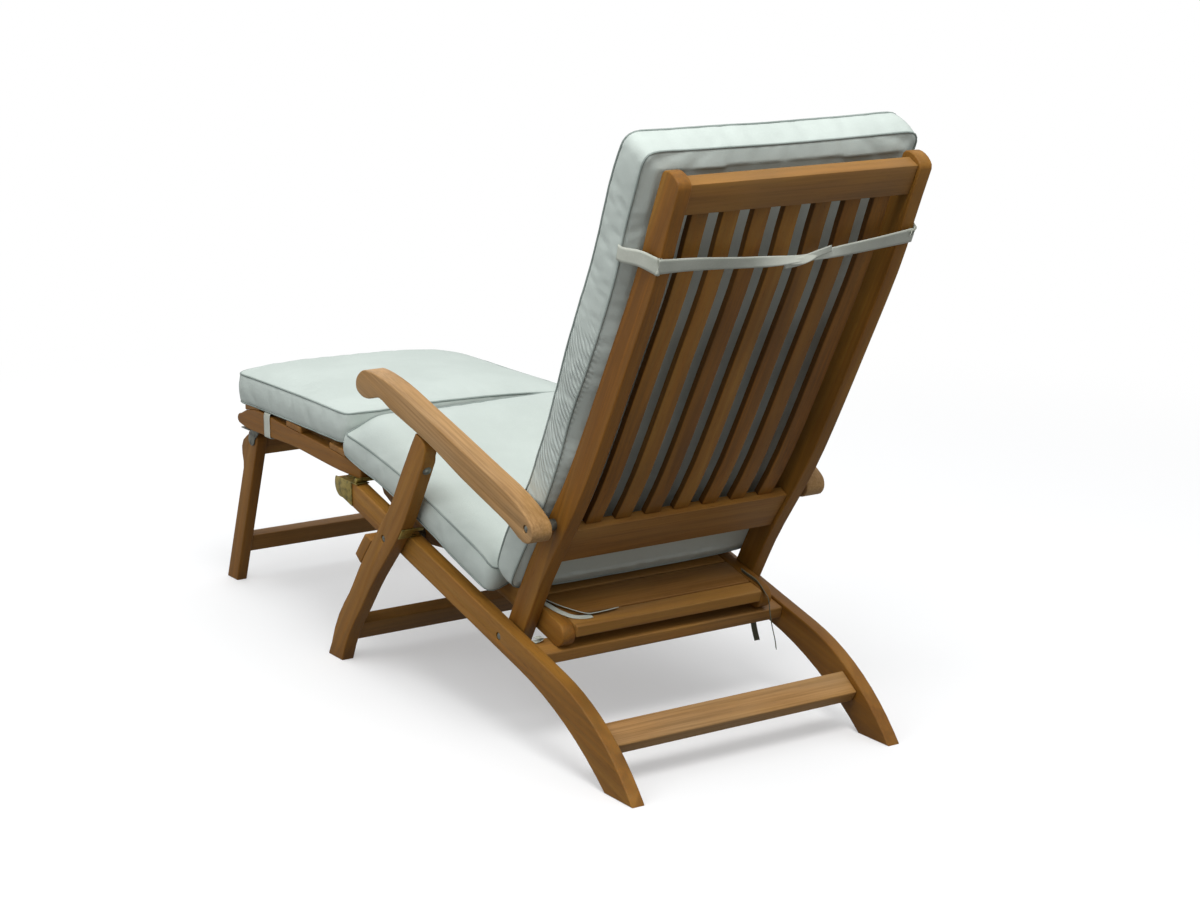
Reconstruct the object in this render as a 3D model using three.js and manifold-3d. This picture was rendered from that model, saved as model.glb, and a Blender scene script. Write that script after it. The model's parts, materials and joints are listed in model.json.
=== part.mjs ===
import * as THREE from 'three';
import { mergeVertices } from 'three/addons/utils/BufferGeometryUtils.js';
import Module from 'manifold-3d';

const wasm = await Module();
wasm.setup();

// A reclining steamer deck chair of oiled hardwood with a folding footrest.
// Millimetres, +Z up. The sitter faces -Y, and +X is on the sitter's left.
// Side outlines are drawn in the (y, z) plane and given their thickness along X.

// Widths, from the outside of the chair inwards
const chairWidth = 600;
const legThickness = 25;
const washerThickness = 2;
const railThickness = 25;
const stileGap = 4;
const stileThickness = 25;
const seatRailGap = 2;
const seatRailThickness = 25;
const footrestInset = 16;
const footrestRailThickness = 25;
const footrestLegGap = 2;
const footrestLegThickness = 23;

// Clearances and edges
const fit = 0.3;
const ease = 1.5;
const boltRadius = 4;
const boltClearance = 0.3;
const boltHeadRadius = 6;
const boltHeadHeight = 2.4;
const boltSinkRadius = 7.2;
const boltSinkDepth = 3.4;
const washerRadius = 9;
const collarRadius = 10;
const nutRadius = 7;
const nutHeight = 5.7;
const overrun = 5;
const weldDistance = 0.003;

// Main rails
const seatTilt = -15;
const frontPivotHeight = 273;
const railDepth = 48;
const noseReach = 211;
const kneeHeight = 338;
const tailTopStart = 535;
const tailTopRadius = 426;
const tailUnderStart = 440;
const tailUnderRadius = 642;

// Cross rails between the main rails
const crossRailStart = 422;
const crossRailWidth = 48;
const crossRailThickness = 22;
const crossRailRise = 20;
const rearStretcherReach = 672;
const rearStretcherDrop = 23.4;
const rearStretcherTilt = -20;
const rearStretcherWidth = 48;
const rearStretcherThickness = 25;

// Seat
const seatRise = 64;
const seatRailRear = 471.5;
const seatRailFront = 190;
const seatRailDrop = 20;
const seatSlatThickness = 22;
const seatSlatFront = 168;
const seatSlatGap = 3.5;
const rearSlatWidth = 34;
const seatSlatCount = 9;

// Front legs
const legAngle = 54.6;
const legReach = 234.5;
const legDepth = 55.5;
const legBow = 14;
const openPivotGap = 2.6;
const legStretcherReach = 268;
const legStretcherWidth = 48;
const legStretcherThickness = 25;
const stopBlockThickness = 24;
const stopBlockReach = 105;
const stopBlockInset = 4;
const catchStart = 38;
const catchLength = 27;
const catchThickness = 2;
const catchInset = 6;
const catchNotch = 11;

// Back
const backPivotReach = 362.7;
const backPivotDrop = 1.2;
const backAngle = 62;
const stileLength = 935;
const stileDepth = 50;
const stileBow = 36;
const stileCapRise = 13;
const topRailStart = 887;
const topRailWidth = 53;
const topRailThickness = 25;
const topRailSetback = 6;
const lowerRailStart = 181;
const lowerRailWidth = 78;
const lowerRailThickness = 22;
const lowerRailSetback = 8;
const backSlatCount = 7;
const backSlatWidth = 32;
const backSlatThickness = 13;
const backSlatSetback = 1.5;
const boltSeatDepth = 22;

// Arms
const armPivotReach = 257.6;
const armPivotSetback = 13.7;
const armSlope = 162.8;
const armLength = 591;
const armRise = 50;
const armWidth = 39;
const armUnderside = 17.4;

// Knee hinge, a brass shoe on the nose and a leaf under the footrest rail
const kneePinReach = 151.5;
const shoeThickness = 2;
const shoeReach = 58.5;
const shoeTail = 8.5;
const shoePlateReach = 11.5;
const kneePinRadius = 1.9;
const kneeKnuckleRadius = 4;
const kneePinClearance = 0.3;
const leafThickness = 1.8;
const leafLength = 60;
const leafWidth = 22;

// Footrest
const footrestLength = 527;
const footrestRailDepth = 45;
const footrestCrown = 27;
const footrestRailRear = 8.5;
const footrestTipReach = 14;
const footrestSlatWidth = 62;
const footrestSlatThickness = 12;
const footrestSlatShares = [0.19, 0.53, 0.87];
const footLegSetback = 10.5;
const footLegDrop = 26.6;
const footLegAngle = 69.7;
const footLegDepth = 42;
const footLegBump = 19.5;
const footLegBumpLength = 80;
const footTopRailWidth = 56;
const footTopRailShift = 6;
const footTopRailThickness = 22;
const footStretcherReach = 251;
const footStretcherWidth = 38;
const footStretcherThickness = 22;
const bracketThickness = 2.5;
const bracketLength = 34;
const bracketEyeRadius = 13;

// Cushions: thickness is from the rest to the front seam, and the crown stands over the seam
const seatCushionThickness = 42;
const seatCushionRear = 295;
const seatCushionFront = 243;
const seatCushionCrown = 6;
const backCushionStart = 66;
const backCushionEnd = 956;
const backCushionThickness = 90;
const backCushionCrown = 5;
const cushionLegGap = 7;
const backCushionArmGap = 1.5;
const backCushionStandoff = 22;
const footCushionStart = 80;
const footCushionSetback = 15.5;
const footCushionTop = 109;
const footCushionCrown = 8;
const footCushionLean = 24;
const footCushionOverhang = 5;
const cushionDrawIn = 5;
const cushionBulge = 3.5;

// Strap round the back
const strapReach = 800;
const strapWidth = 28;
const strapThickness = 1.6;
const strapGap = 0.5;
const knotPlace = -36;
const knotLength = 56;
const knotDepth = 22;

// Places across the chair, measured from the middle
const legOuter = chairWidth / 2;
const legInner = legOuter - legThickness;
const railOuter = legInner - washerThickness;
const railInner = railOuter - railThickness;
const stileOuter = railInner - stileGap;
const stileInner = stileOuter - stileThickness;
const seatRailOuter = stileInner - seatRailGap;
const seatRailInner = seatRailOuter - seatRailThickness;
const armInner = legOuter - armWidth;
const stopBlockInner = railInner + stopBlockInset;
const catchInner = railInner + catchInset;
const seatCushionHalfWidth = legInner - cushionLegGap;
const backCushionHalfWidth = legInner - cushionLegGap;
const footrestOuter = railOuter - footrestInset;
const footrestInner = footrestOuter - footrestRailThickness;
const footCushionHalfWidth = footrestOuter + footCushionOverhang;
const footLegOuter = footrestInner - footrestLegGap;
const footLegInner = footLegOuter - footrestLegThickness;
const boltHole = boltRadius + boltClearance;
const footLegReach = footrestLength - footLegSetback;
const footCushionEnd = footrestLength - footCushionSetback;

// A pair of axes in the side plane, with its origin on a pivot
class SideFrame {
  constructor(origin, degrees, turn = 1) {
    const angle = THREE.MathUtils.degToRad(degrees);
    this.origin = origin;
    this.along = new THREE.Vector2(Math.cos(angle), Math.sin(angle));
    this.up = new THREE.Vector2(-Math.sin(angle), Math.cos(angle)).multiplyScalar(turn);
  }

  at(along, up) {
    return this.origin.clone().addScaledVector(this.along, along).addScaledVector(this.up, up);
  }

  place(points) {
    return points.map(([along, up]) => this.at(along, up));
  }
}

// Smooth value between stations, each station a place and a value
function smoothAt(places, values, place) {
  const last = places.length - 1;
  const next = THREE.MathUtils.clamp(places.findIndex((p) => p > place), 1, last);
  const index = place >= places[last] ? last - 1 : next - 1;
  const slope = (i) => {
    const low = Math.max(i - 1, 0);
    const high = Math.min(i + 1, last);
    return (values[high] - values[low]) / (places[high] - places[low]);
  };
  const span = places[index + 1] - places[index];
  const t = THREE.MathUtils.clamp((place - places[index]) / span, 0, 1);
  const rise = values[index + 1] - values[index];
  const m0 = slope(index) * span;
  const m1 = slope(index + 1) * span;
  return values[index] + m0 * t + (3 * rise - 2 * m0 - m1) * t ** 2 + (m0 + m1 - 2 * rise) * t ** 3;
}

// A gently curved bar: its centreline and its depth at stations along a frame
class Bar {
  constructor(frame, stations) {
    this.frame = frame;
    this.places = stations.map((station) => station[0]);
    this.offsets = stations.map((station) => station[1]);
    this.depths = stations.map((station) => station[2]);
  }

  centre(along) {
    return smoothAt(this.places, this.offsets, along);
  }

  top(along, extra = 0) {
    return this.centre(along) + smoothAt(this.places, this.depths, along) / 2 + extra;
  }

  under(along, extra = 0) {
    return this.centre(along) - smoothAt(this.places, this.depths, along) / 2 - extra;
  }

  // Outline between two places, under side first, with optional end caps in local points
  outline(start, end, steps, startCap = [], endCap = []) {
    const places = spread(start, end, steps);
    const under = places.map((along) => [along, this.under(along)]);
    const top = places.map((along) => [along, this.top(along)]).reverse();
    return this.frame.place([...under, ...endCap, ...top, ...startCap]);
  }

  // A thinner strip that follows the bar, between two offsets from its centreline
  strip(start, end, steps, low, high) {
    const places = spread(start, end, steps);
    const under = places.map((along) => [along, this.centre(along) + low]);
    const top = places.map((along) => [along, this.centre(along) + high]).reverse();
    return this.frame.place([...under, ...top]);
  }
}

function spread(start, end, steps) {
  return Array.from({ length: steps + 1 }, (_, i) => start + ((end - start) * i) / steps);
}

// Points on an arc in local axes, angles in degrees
function arc(centre, radius, from, to, steps) {
  return spread(from, to, steps).map((degrees) => {
    const angle = THREE.MathUtils.degToRad(degrees);
    return [centre[0] + radius * Math.cos(angle), centre[1] + radius * Math.sin(angle)];
  });
}

// Keeps the part of an outline where (point - through) . inward is not negative
function trim(points, through, inward) {
  const distance = (point) => point.clone().sub(through).dot(inward);
  const kept = [];
  points.forEach((point, i) => {
    const next = points[(i + 1) % points.length];
    const here = distance(point);
    const there = distance(next);
    if (here >= 0) {
      kept.push(point);
    }
    if (here * there < 0) {
      kept.push(point.clone().lerp(next, here / (here - there)));
    }
  });
  return kept;
}

function trimAtFloor(points) {
  return trim(points, new THREE.Vector2(0, 0), new THREE.Vector2(0, 1));
}

// Rectangle with eased corners, in local axes of a frame
function boardOutline(frame, start, end, low, high) {
  return frame.place([
    [start + ease, low],
    [end - ease, low],
    [end, low + ease],
    [end, high - ease],
    [end - ease, high],
    [start + ease, high],
    [start, high - ease],
    [start, low + ease],
  ]);
}

// Gives an outline its thickness between two places across the chair
function across(points, inner, outer, edge = ease) {
  const geometry = new THREE.ExtrudeGeometry(new THREE.Shape(points), {
    depth: outer - inner - 2 * edge,
    bevelEnabled: edge > 0,
    bevelThickness: edge,
    bevelSize: edge,
    bevelOffset: -edge,
    bevelSegments: 1,
  });
  const sideways = new THREE.Matrix4().makeBasis(
    new THREE.Vector3(0, 1, 0),
    new THREE.Vector3(0, 0, 1),
    new THREE.Vector3(1, 0, 0),
  );
  geometry.applyMatrix4(sideways);
  geometry.translate(inner + edge, 0, 0);
  return geometry;
}

// Turned piece on a crosswise axis through a pivot, from [place across, radius] pairs
function turned(pivot, profile, segments = 12) {
  const points = profile.map(([place, radius]) => new THREE.Vector2(radius, place));
  const geometry = new THREE.LatheGeometry(points, segments);
  geometry.rotateZ(-Math.PI / 2);
  geometry.translate(0, pivot.x, pivot.y);
  return geometry;
}

function peg(pivot, inner, outer, radius, segments = 12) {
  return turned(pivot, [[inner, 0], [inner, radius], [outer, radius], [outer, 0]], segments);
}

// Hole through a board for a bolt, with a sink for its head in the outer face
function boltHoleCut(pivot, boardInner, boardOuter) {
  const sinkFloor = boardOuter - boltSinkDepth;
  return turned(pivot, [
    [boardInner - overrun, 0],
    [boardInner - overrun, boltHole],
    [sinkFloor, boltHole],
    [sinkFloor, boltSinkRadius],
    [boardOuter + overrun, boltSinkRadius],
    [boardOuter + overrun, 0],
  ]);
}

// The head's share of a bolt's profile, sunk into a board's outer face
function boltHead(boardOuter) {
  const seat = boardOuter - boltSinkDepth + fit;
  const rim = seat + boltHeadHeight / 2;
  const crown = seat + boltHeadHeight;
  return [
    [seat, boltRadius],
    [seat, boltHeadRadius],
    [rim, boltHeadRadius],
    [crown, boltHeadRadius / 2],
    [crown, 0],
  ];
}

function solidOf(geometry) {
  const bare = geometry.clone();
  bare.deleteAttribute('normal');
  bare.deleteAttribute('uv');
  const merged = mergeVertices(bare, weldDistance);
  return new wasm.Manifold(new wasm.Mesh({
    numProp: 3,
    vertProperties: new Float32Array(merged.attributes.position.array),
    triVerts: new Uint32Array(merged.index.array),
  }));
}

function geometryOf(solid) {
  const mesh = solid.getMesh();
  const geometry = new THREE.BufferGeometry();
  geometry.setAttribute('position', new THREE.BufferAttribute(mesh.vertProperties, 3));
  geometry.setIndex(new THREE.BufferAttribute(mesh.triVerts, 1));
  return geometry;
}

function cut(geometry, ...tools) {
  return geometryOf(tools.reduce((solid, tool) => solid.subtract(solidOf(tool)), solidOf(geometry)));
}

function join(geometry, ...others) {
  return geometryOf(others.reduce((solid, other) => solid.add(solidOf(other)), solidOf(geometry)));
}

// The same piece on the other side of the chair
function mirror(geometry) {
  return geometryOf(solidOf(geometry).mirror([1, 0, 0]));
}

// Frames and pivots
const frontPivot = new THREE.Vector2(0, frontPivotHeight);
const seatFrame = new SideFrame(frontPivot, seatTilt);
const backPivot = seatFrame.at(backPivotReach, -backPivotDrop);
const backFrame = new SideFrame(backPivot, backAngle);
const armPivot = backFrame.at(armPivotReach, -armPivotSetback);
const armFrame = new SideFrame(armPivot, armSlope, -1);
const legFrame = new SideFrame(frontPivot, legAngle);
const legTop = legFrame.at(legReach, 0);
const shoeTop = kneeHeight + fit + shoeThickness;
const leafTop = shoeTop + fit + leafThickness;
const kneePin = new THREE.Vector2(-kneePinReach, shoeTop + fit + kneeKnuckleRadius);
const footrestFrame = new SideFrame(kneePin, 180, -1);
const footLegPivot = footrestFrame.at(footLegReach, -footLegDrop);
const footLegFrame = new SideFrame(footLegPivot, 180 + footLegAngle);

// Materials
const wood = new THREE.MeshStandardMaterial({ color: 0xb08c60, roughness: 0.55, metalness: 0 });
const brass = new THREE.MeshStandardMaterial({ color: 0x8a7a4a, roughness: 0.4, metalness: 0.9 });
const steel = new THREE.MeshStandardMaterial({ color: 0x6c6f68, roughness: 0.4, metalness: 0.9 });
const cloth = new THREE.MeshStandardMaterial({ color: 0xcddad7, roughness: 0.95, metalness: 0 });
const webbing = new THREE.MeshStandardMaterial({ color: 0xe4e6e0, roughness: 0.9, metalness: 0 });

const chair = new THREE.Group();

function add(name, geometry, material) {
  const mesh = new THREE.Mesh(geometry, material);
  mesh.name = name;
  chair.add(mesh);
}

function addPair(name, geometry, material) {
  add(`${name}_left`, geometry, material);
  add(`${name}_right`, mirror(geometry), material);
}

// Main rails: a straight run that tips down into the rear foot
function mainRail() {
  const half = railDepth / 2;
  const nose = arc([-noseReach, 0], half, -90, -270, 10);
  const topTail = arc([tailTopStart, half - tailTopRadius], tailTopRadius, 90, 35, 14);
  const underTail = arc([tailUnderStart, -half - tailUnderRadius], tailUnderRadius, 50, 90, 12);
  const whole = seatFrame.place([...nose, ...topTail, ...underTail]);
  const levelled = trim(trimAtFloor(whole), new THREE.Vector2(0, kneeHeight), new THREE.Vector2(0, -1));
  const board = across(levelled, railInner, railOuter);
  const frontHole = peg(frontPivot, railInner - overrun, railOuter + overrun, boltHole);
  return cut(board, frontHole, boltHoleCut(backPivot, railInner, railOuter));
}

// Board between the main rails that carries the seat rails' rear ends
function seatCrossRail() {
  const start = crossRailStart;
  const low = crossRailRise - crossRailThickness;
  const outline = boardOutline(seatFrame, start, start + crossRailWidth, low, crossRailRise);
  return across(outline, -railInner + fit, railInner - fit);
}

function rearStretcher() {
  const middle = seatFrame.at(rearStretcherReach, -rearStretcherDrop);
  const frame = new SideFrame(middle, seatTilt + rearStretcherTilt);
  const halfWidth = rearStretcherWidth / 2;
  const halfThickness = rearStretcherThickness / 2;
  const outline = boardOutline(frame, -halfWidth, halfWidth, -halfThickness, halfThickness);
  return across(outline, -railInner + fit, railInner - fit);
}

// Seat rails hang on the front pivot bolts and rest on the cross rail
function seatRail() {
  const low = crossRailRise + fit;
  const endRadius = (seatRise - low) / 2;
  const rearCentre = [seatRailRear - endRadius, low + endRadius];
  const noseCentre = [-seatRailFront + endRadius, seatRise - endRadius];
  const undersideShares = [[0.071, 0.48], [0.308, 1], [0.385, 0.9], [0.5225, 0.25], [0.616, 0]];
  const underside = undersideShares.map(([reach, drop]) => [
    THREE.MathUtils.lerp(-seatRailFront, backPivotReach - endRadius, reach),
    THREE.MathUtils.lerp(low, -seatRailDrop, drop),
  ]);
  const outline = seatFrame.place([
    ...arc(noseCentre, endRadius, 90, 200, 6),
    ...underside,
    ...arc(rearCentre, endRadius, -90, 90, 8),
  ]);
  const board = across(outline, seatRailInner, seatRailOuter);
  return cut(board, peg(frontPivot, seatRailInner - overrun, seatRailOuter + overrun, boltHole));
}

// Seat slats run between the seat rails, flush with their tops
function seatSlats() {
  const rearGap = seatRailRear - rearSlatWidth;
  const wideCount = seatSlatCount - 1;
  const pitch = (rearGap + seatSlatFront) / wideCount;
  const starts = spread(-seatSlatFront, rearGap - pitch, wideCount - 1);
  const slats = starts.map((start) => [start, start + pitch - seatSlatGap]);
  return [...slats, [rearGap, seatRailRear]].map(([start, end]) => {
    const outline = boardOutline(seatFrame, start, end, seatRise - seatSlatThickness, seatRise);
    return across(outline, -seatRailInner + fit, seatRailInner - fit);
  });
}

// Front legs, curved like a drawn-out S, with a rounded top under the arm
const legDrop = frontPivotHeight / Math.sin(THREE.MathUtils.degToRad(legAngle));
const legDropShares = [
  [1.2, 0, 0.865], [1, 0, 0.865], [0.92, 0.55, 0.883], [0.725, 0.99, 0.883], [0.54, 0.64, 0.865],
  [0.29, 0.48, 0.937],
];
const legReachShares = [[0, -0.3, 1], [0.314, -0.73, 0.973], [0.624, -0.4, 0.973], [1, 0, 0.9]];
const leg = new Bar(legFrame, [
  ...legDropShares.map(([along, bow, depth]) => [-along * legDrop, bow * legBow, depth * legDepth]),
  ...legReachShares.map(([along, bow, depth]) => [along * legReach, bow * legBow, depth * legDepth]),
]);

function frontLeg() {
  const underArm = armFrame.at(0, -armUnderside);
  const rise = underArm.sub(legTop).dot(armFrame.up) - openPivotGap;
  const toLeg = (point) => {
    const away = point.clone().sub(frontPivot);
    return [away.dot(legFrame.along), away.dot(legFrame.up)];
  };
  const flatAngle = 180 - armSlope;
  const rearAngle = legAngle - 90;
  const round = spread(rearAngle, 90 - flatAngle, 7).map((degrees) => {
    const angle = THREE.MathUtils.degToRad(degrees);
    const outwards = new THREE.Vector2(Math.cos(angle), Math.sin(angle));
    return toLeg(legTop.clone().addScaledVector(outwards, rise));
  });
  const end = legReach - rise / 2;
  const flat = legTop.clone().addScaledVector(armFrame.up, rise);
  const reach = (leg.top(end) - toLeg(flat)[1]) / armFrame.along.dot(legFrame.up);
  const corner = toLeg(flat.addScaledVector(armFrame.along, reach));
  const outline = trimAtFloor(leg.outline(-legDrop - legDepth, end, 18, [], [...round, corner]));
  const board = across(outline, legInner, legOuter);
  return cut(board, boltHoleCut(frontPivot, legInner, legOuter));
}

function legStretcher() {
  const centre = leg.centre(-legStretcherReach);
  const half = legStretcherThickness / 2;
  const start = -legStretcherReach - legStretcherWidth / 2;
  const outline = boardOutline(legFrame, start, start + legStretcherWidth, centre - half, centre + half);
  return across(outline, -legInner + fit, legInner - fit);
}

// Block on the leg's front edge that stops against the rail's underside
function stopBlock() {
  const places = spread(-stopBlockReach, 0, 6);
  const rear = places.map((along) => [along, leg.top(along, fit)]);
  const front = places.map((along) => [along, leg.top(along, fit + stopBlockThickness)]).reverse();
  const outline = legFrame.place([...rear, ...front]);
  const belowRail = seatFrame.at(0, -railDepth / 2 - fit);
  const down = seatFrame.up.clone().negate();
  return across(trim(outline, belowRail, down), stopBlockInner, legOuter);
}

// Brass catch on the leg's rear edge, over the rail's top
function railCatch() {
  const places = spread(catchStart, catchStart + catchLength, 3);
  const near = places.map((along) => [along, leg.under(along, fit)]);
  const far = places.map((along) => [along, leg.under(along, fit + catchThickness)]).reverse();
  const aboveRail = seatFrame.at(0, railDepth / 2 + fit);
  const outline = trim(legFrame.place([...near, ...far]), aboveRail, seatFrame.up);
  const plate = across(outline, catchInner, legOuter - ease, 0);
  const start = catchStart + (catchLength - catchNotch) / 2;
  const low = leg.under(start, catchThickness + overrun);
  const notch = legFrame.place([
    [start, low],
    [start + catchNotch, low],
    [start + catchNotch, low + 2 * overrun + catchThickness],
    [start, low + 2 * overrun + catchThickness],
  ]);
  return cut(plate, across(notch, catchInner - overrun, railOuter, 0));
}

// Back stiles and everything between them
const stileShares = [
  [0, 0, 0.96], [0.16, -0.14, 0.98], [0.246, -0.42, 1], [0.342, -0.75, 1], [0.428, -0.89, 1],
  [0.615, -0.97, 1], [0.824, -0.97, 1], [0.909, -0.72, 1], [1, -0.56, 0.98],
];
const stile = new Bar(backFrame, stileShares.map(([along, bow, depth]) => [
  along * stileLength,
  bow * stileBow,
  depth * stileDepth,
]));

function backStile() {
  const bottomRadius = stile.top(0);
  const topHalf = (stile.top(stileLength) - stile.under(stileLength)) / 2;
  const topCentre = stile.centre(stileLength);
  const cap = spread(-60, 60, 6).map((degrees) => {
    const angle = THREE.MathUtils.degToRad(degrees);
    return [stileLength + stileCapRise * Math.cos(angle), topCentre + topHalf * Math.sin(angle)];
  });
  const outline = stile.outline(0, stileLength, 20, arc([0, 0], bottomRadius, 105, 255, 8), cap);
  const board = across(outline, stileInner, stileOuter);
  const seat = stileOuter - boltSeatDepth;
  const boltSeats = [backPivot, armPivot].map((pivot) => peg(pivot, seat, stileOuter + overrun, boltHole));
  return cut(board, ...boltSeats);
}

function backCrossRail(start, width, thickness, setback) {
  const half = thickness / 2;
  const outline = stile.strip(start, start + width, 3, -setback - half, -setback + half);
  return across(outline, -stileInner + fit, stileInner - fit);
}

function backLowerRail() {
  return backCrossRail(lowerRailStart, lowerRailWidth, lowerRailThickness, lowerRailSetback);
}

function backSlats() {
  const start = lowerRailStart + lowerRailWidth + fit;
  const end = topRailStart - fit;
  const half = backSlatThickness / 2;
  const outline = stile.strip(start, end, 12, -backSlatSetback - half, -backSlatSetback + half);
  const gap = (2 * stileInner - backSlatCount * backSlatWidth) / (backSlatCount + 1);
  const pitch = backSlatWidth + gap;
  return spread(-(backSlatCount - 1) / 2, (backSlatCount - 1) / 2, backSlatCount - 1).map((step) => {
    const middle = step * pitch;
    return across(outline, middle - backSlatWidth / 2, middle + backSlatWidth / 2);
  });
}

// Arms: a flat top that rolls down at the front and rounds off at the rear pivot
const armShares = [
  [-0.006, 0.38], [0.096, 0.57], [0.264, 0.56], [0.437, 0.54], [0.618, 0.5], [0.802, 0.44],
  [0.924, 0.22], [0.971, 0], [1, -0.48], [0.992, -0.84], [0.956, -0.94], [0.914, -0.8],
  [0.858, -0.42], [0.782, -0.43], [0.626, -0.346], [0.508, -0.326], [0.355, -0.4], [0.184, -0.4],
  [0.088, -0.408], [0.004, -0.518], [-0.029, -0.34], [-0.039, -0.04], [-0.029, 0.24],
];

function arm() {
  const points = armShares.map(([along, up]) => new THREE.Vector3(along * armLength, up * armRise, 0));
  const curve = new THREE.CatmullRomCurve3(points, true);
  const round = curve.getPoints(points.length * 3).slice(0, -1).map((point) => [point.x, point.y]);
  const board = across(armFrame.place(round), armInner, legOuter);
  return cut(board, boltHoleCut(armPivot, armInner, legOuter));
}

// Bolts are turned pieces: head, shank, and collars that space the boards
function legBolt() {
  return turned(frontPivot, [
    [seatRailInner - fit - nutHeight, 0],
    [seatRailInner - fit - nutHeight, nutRadius],
    [seatRailInner - fit, nutRadius],
    [seatRailInner - fit, boltRadius],
    [seatRailOuter + fit, boltRadius],
    [seatRailOuter + fit, collarRadius],
    [railInner - fit, collarRadius],
    [railInner - fit, boltRadius],
    [railOuter + fit, boltRadius],
    [railOuter + fit, washerRadius],
    [legInner - fit, washerRadius],
    [legInner - fit, boltRadius],
    ...boltHead(legOuter),
  ]);
}

function stileBolt(pivot, boardInner, boardOuter) {
  return turned(pivot, [
    [stileOuter - boltSeatDepth + fit, 0],
    [stileOuter - boltSeatDepth + fit, boltRadius],
    [stileOuter + fit, boltRadius],
    [stileOuter + fit, collarRadius],
    [boardInner - fit, collarRadius],
    [boardInner - fit, boltRadius],
    ...boltHead(boardOuter),
  ]);
}

// Knee shoe: side plate, top strip and the knuckle that holds the pin
function kneeShoe() {
  const noseCentre = seatFrame.at(-noseReach, 0);
  const plateRear = -kneePinReach - shoePlateReach;
  const plateLow = noseCentre.y - railDepth / 2 + ease;
  const plateFall = (plateRear - noseCentre.x) * Math.sin(THREE.MathUtils.degToRad(seatTilt));
  const local = new SideFrame(noseCentre, 0);
  const around = local.place(arc([0, 0], railDepth / 2, 0, 360, 32).slice(0, -1));
  const level = trim(around, new THREE.Vector2(0, shoeTop), new THREE.Vector2(0, -1));
  const disc = across(level, railOuter + fit, railOuter + fit + shoeThickness, 0);
  const plateOutline = [
    new THREE.Vector2(noseCentre.x, shoeTop),
    new THREE.Vector2(noseCentre.x, plateLow),
    new THREE.Vector2(plateRear, plateLow + plateFall),
    new THREE.Vector2(plateRear, shoeTop),
  ];
  const plate = across(plateOutline, railOuter + fit, railOuter + fit + shoeThickness, 0);
  const strip = across([
    new THREE.Vector2(-kneePinReach - shoeReach, kneeHeight + fit),
    new THREE.Vector2(-kneePinReach + shoeTail, kneeHeight + fit),
    new THREE.Vector2(-kneePinReach + shoeTail, shoeTop),
    new THREE.Vector2(-kneePinReach - shoeReach, shoeTop),
  ], railInner + fit, railOuter + fit + shoeThickness, 0);
  const knuckleInner = footrestOuter + 5 * fit;
  const knuckle = peg(kneePin, knuckleInner, railOuter - fit, kneeKnuckleRadius + 2 * fit);
  const pin = peg(kneePin, footrestInner + 2 * fit, knuckleInner + fit, kneePinRadius);
  return join(disc, plate, strip, knuckle, pin);
}

// Knee leaf: a strip under the footrest rail that curls round the pin
function kneeLeaf() {
  const inner = footrestInner + leafThickness;
  const outer = inner + leafWidth;
  const strip = across([
    new THREE.Vector2(kneePin.x, shoeTop + fit),
    new THREE.Vector2(kneePin.x, leafTop),
    new THREE.Vector2(kneePin.x - leafLength, leafTop),
    new THREE.Vector2(kneePin.x - leafLength, shoeTop + fit),
  ], inner, outer, 0);
  const barrel = peg(kneePin, inner, footrestOuter + 4 * fit, kneeKnuckleRadius, 16);
  const bore = peg(kneePin, inner - overrun, footrestOuter + overrun, kneePinRadius + kneePinClearance);
  return cut(join(strip, barrel), bore);
}

// Footrest rails, thin at the knee and full towards the front
const footrestShares = [
  [0.016, 0.34, 0.5], [0.1, 0.43, 0.61], [0.183, 0.53, 0.72], [0.35, 0.72, 0.755], [0.525, 0.885, 0.73],
  [0.676, 0.945, 0.845], [0.75, 1, 0.955], [0.84, 1, 1], [0.93, 0.86, 0.81], [0.973, 0.74, 0.48],
];
const footrestBar = new Bar(footrestFrame, footrestShares.map(([along, crown, depth]) => [
  along * footrestLength,
  crown * footrestCrown,
  depth * footrestRailDepth,
]));
const footrestEnd = footrestLength - footrestTipReach;

function footrestRail() {
  const tipCentre = footrestBar.centre(footrestEnd);
  const tipHalf = footrestBar.top(footrestEnd) - tipCentre;
  const cap = spread(-60, 60, 4).map((degrees) => {
    const angle = THREE.MathUtils.degToRad(degrees);
    return [footrestEnd + footrestTipReach * Math.cos(angle), tipCentre + tipHalf * Math.sin(angle)];
  });
  const outline = footrestBar.outline(footrestRailRear, footrestEnd, 18, [], cap);
  const seated = trim(outline, new THREE.Vector2(0, leafTop + fit), new THREE.Vector2(0, 1));
  return across(seated, footrestInner, footrestOuter);
}

// Footrest slats follow the rails' curved tops
function footrestSlats() {
  return footrestSlatShares.map((share) => {
    const middle = share * footrestLength;
    const places = spread(middle - footrestSlatWidth / 2, middle + footrestSlatWidth / 2, 4);
    const topAt = (rise) => places.map((along) => [along, footrestBar.top(along, rise)]);
    const under = topAt(fit);
    const top = topAt(fit + footrestSlatThickness).reverse();
    return across(footrestFrame.place([...under, ...top]), -footrestOuter, footrestOuter);
  });
}

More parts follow.
